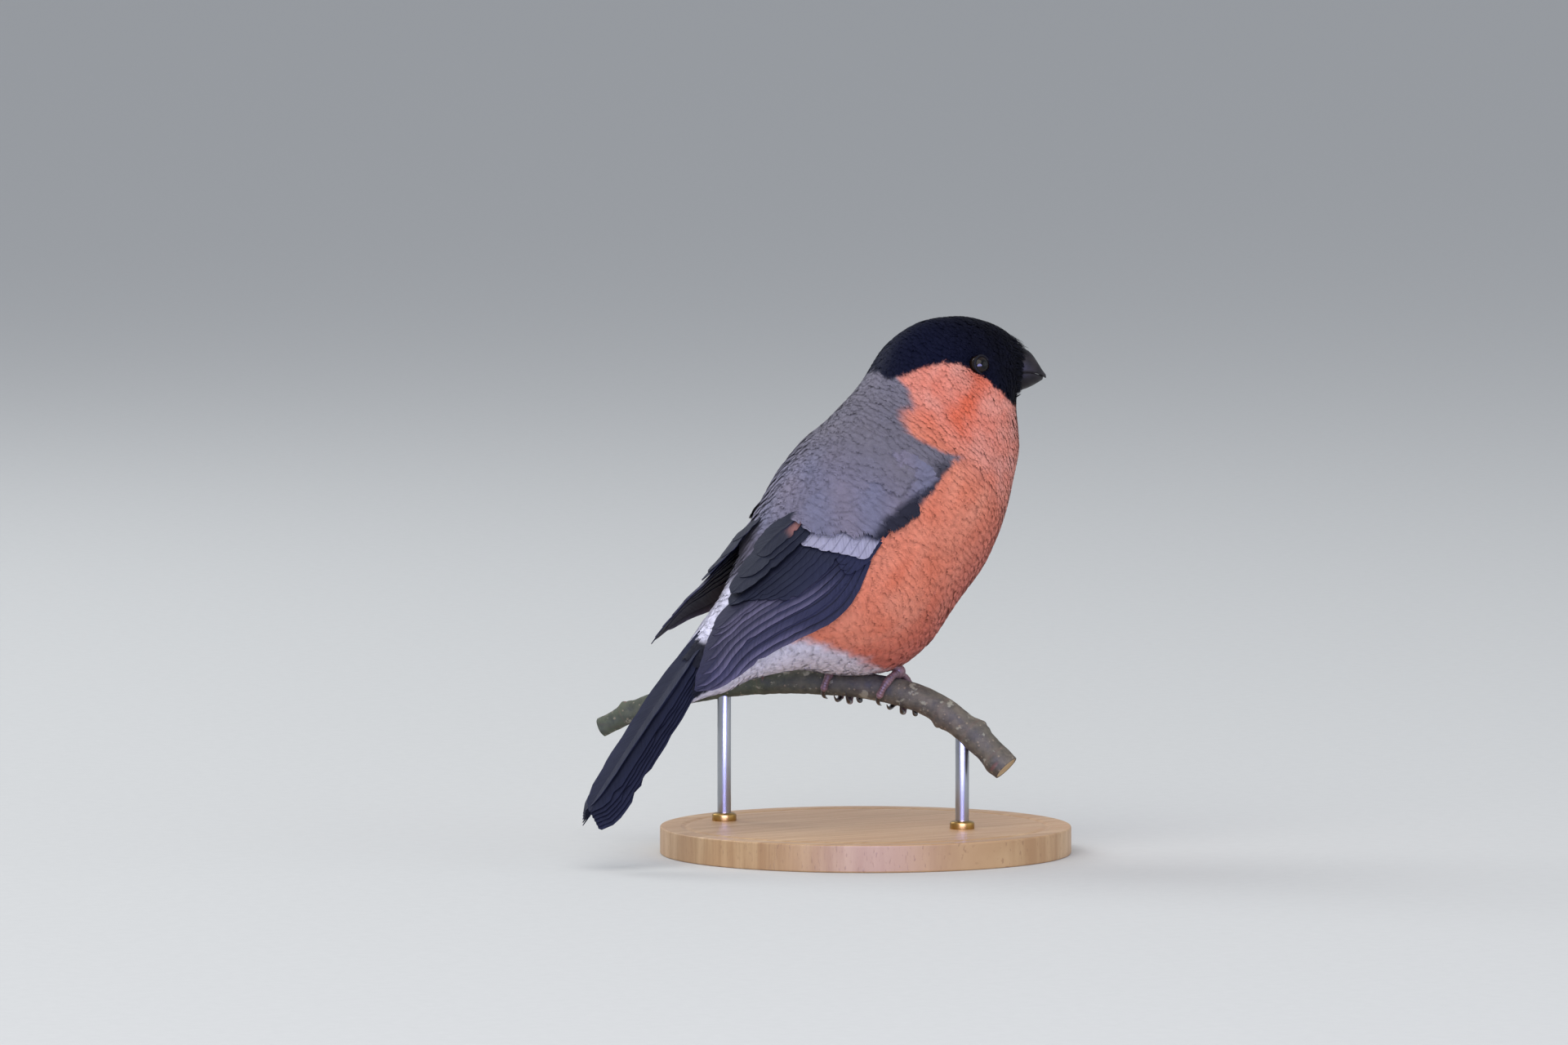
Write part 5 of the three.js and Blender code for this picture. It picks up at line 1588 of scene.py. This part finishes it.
scutes_finish = finish("leg scutes", scaly, coat_weight=0.1)
claw_finish = finish("claw horn", claw_horn, coat_weight=0.2)
for name, (place, side) in FEET.items():
    grip = foot_frame(place)
    feet_parts = []
    for toe_name, toe in TOES.items():
        path = toe_path(grip, toe, 0, toe["end"], TOE_RINGS, side)
        share = np.linspace(0, 1, TOE_RINGS)
        joints = 3 if toe["forward"] > 0 else 2
        radius = toe["radius"] * (1.04 - 0.2 * share) * (1 + 0.09 * np.cos(share * joints * 2 * math.pi))
        radius *= 1 - smooth_step(share, 0.93, 1.0) * 0.35
        rings, seam = tapered(path, radius, 20, away_from_twig(grip, path), scutes=15, depth=0.14)
        feet_parts.append(lofted("toe", rings, seam=seam))
        claw_path = toe_path(grip, toe, toe["end"] - CLAW_SINK, toe["end"] + CLAW_TURN, CLAW_RINGS, side)
        claw_radius = CLAW_RADIUS * (1.02 - 0.9 * np.linspace(0, 1, CLAW_RINGS) ** 1.2)
        claw = lofted("claw", tapered(claw_path, claw_radius, 16, away_from_twig(grip, claw_path))[0])
        settle(claw, f"horn_{name}_{toe_name}", claw_finish, "claw_horn", f"claw_{name}_{toe_name}")
    sole = grip_points(grip, np.zeros(1), np.full(1, PALM_HEIGHT), np.zeros(1), 1)[0]
    heel = grip["centre"] + np.array([-SHANK["back"], side * SHANK["out"], SHANK["rise"]])
    share = np.linspace(0, 1, TOE_RINGS)
    shank_path = sole + (heel - sole) * share[:, None]
    shank_radius = SHANK["radius"] + SHANK["heel"] * share ** 2
    front = np.broadcast_to(np.array([1.0, 0, 0.3]), shank_path.shape)
    rings, seam = tapered(shank_path, shank_radius, 20, front, scutes=9, depth=0.12)
    shank = lofted("shank", rings, seam=seam)
    settle(shank, f"shank_{name}", scutes_finish, "leg_scales", f"leg_{name}")
    nothing_selected()
    bpy.ops.mesh.primitive_uv_sphere_add(
        segments=32, ring_count=20, radius=PALM_RADIUS * MM, location=Vector(sole * MM))
    palm = bpy.context.object
    bpy.ops.object.shade_smooth()
    pick(*feet_parts, palm)
    bpy.ops.object.join()
    settle(feet_parts[0], f"toes_{name}", scutes_finish, "leg_scales", f"foot_{name}")

# The room: a wide plain pale floor under broad soft lamps, and a distant camera a little above the bird.
CAMERA_DISTANCE = 2.5
CAMERA_AZIMUTH = math.radians(-35)
CAMERA_ELEVATION = math.radians(4)
SENSOR = 36.0
PHOTO_WIDTH = 1920
PHOTO_HEIGHT = 1280
PIXELS_PER_METRE = 5600
PERCH_PIXEL = (1060, 838)


def pale_floor(wire):
    grain = wire.cloud(3, 2.0)
    pale = grain.blend(colour(206, 207, 204), colour(201, 202, 199))
    return {"Base Color": pale, "Roughness": 0.8 + grain * 0.1}


nothing_selected()
bpy.ops.mesh.primitive_plane_add(size=40)
floor = bpy.context.object
floor.name = "floor"
floor.data.materials.append(finish("pale floor", pale_floor))

towards = Vector((math.sin(CAMERA_AZIMUTH) * math.cos(CAMERA_ELEVATION),
                  -math.cos(CAMERA_AZIMUTH) * math.cos(CAMERA_ELEVATION), math.sin(CAMERA_ELEVATION)))
right = Vector((math.cos(CAMERA_AZIMUTH), math.sin(CAMERA_AZIMUTH), 0))
above = towards.cross(right)
aim = Vector((0, 0, PERCH_HEIGHT * MM))
aim += right * ((PHOTO_WIDTH / 2 - PERCH_PIXEL[0]) / PIXELS_PER_METRE)
aim += above * ((PERCH_PIXEL[1] - PHOTO_HEIGHT / 2) / PIXELS_PER_METRE)
lens = bpy.data.cameras.new("camera")
lens.sensor_width = SENSOR
lens.lens = SENSOR * CAMERA_DISTANCE * PIXELS_PER_METRE / PHOTO_WIDTH
lens.clip_end = 100
camera = in_scene("camera", lens)
camera.location = aim + towards * CAMERA_DISTANCE
camera.rotation_euler = towards.to_track_quat("Z", "Y").to_euler()
bpy.context.scene.camera = camera

LAMP_AIM = Vector((0, 0, 0.07))
LAMPS = {
    "key": ((-0.9, -0.7, 1.4), 2.0, 20, (1.0, 0.98, 0.95)),
    "fill": ((0.8, -1.1, 0.4), 1.6, 5.0, (0.93, 0.96, 1.0)),
    "glint": ((-0.8, -1.25, 0.14), 1.3, 84, (0.44, 0.44, 1.0)),
    "back": ((-0.4, 1.2, 1.0), 1.0, 9, (0.95, 0.97, 1.0)),
}
for name, (place, size, power, tint) in LAMPS.items():
    lamp = bpy.data.lights.new(name, "AREA")
    lamp.shape = "DISK"
    lamp.size = size
    lamp.energy = power
    lamp.color = tint
    stand = in_scene(name, lamp)
    stand.visible_diffuse = name != "glint"
    stand.location = place
    stand.rotation_euler = (Vector(place) - LAMP_AIM).to_track_quat("Z", "Y").to_euler()

world = bpy.data.worlds.new("sky")
world.use_nodes = True
sky = world.node_tree.nodes["Background"]
sky.inputs["Color"].default_value = (0.86, 0.9, 1.0, 1)
sky.inputs["Strength"].default_value = 0.55
bpy.context.scene.world = world
bpy.context.scene.view_settings.view_transform = "Standard"
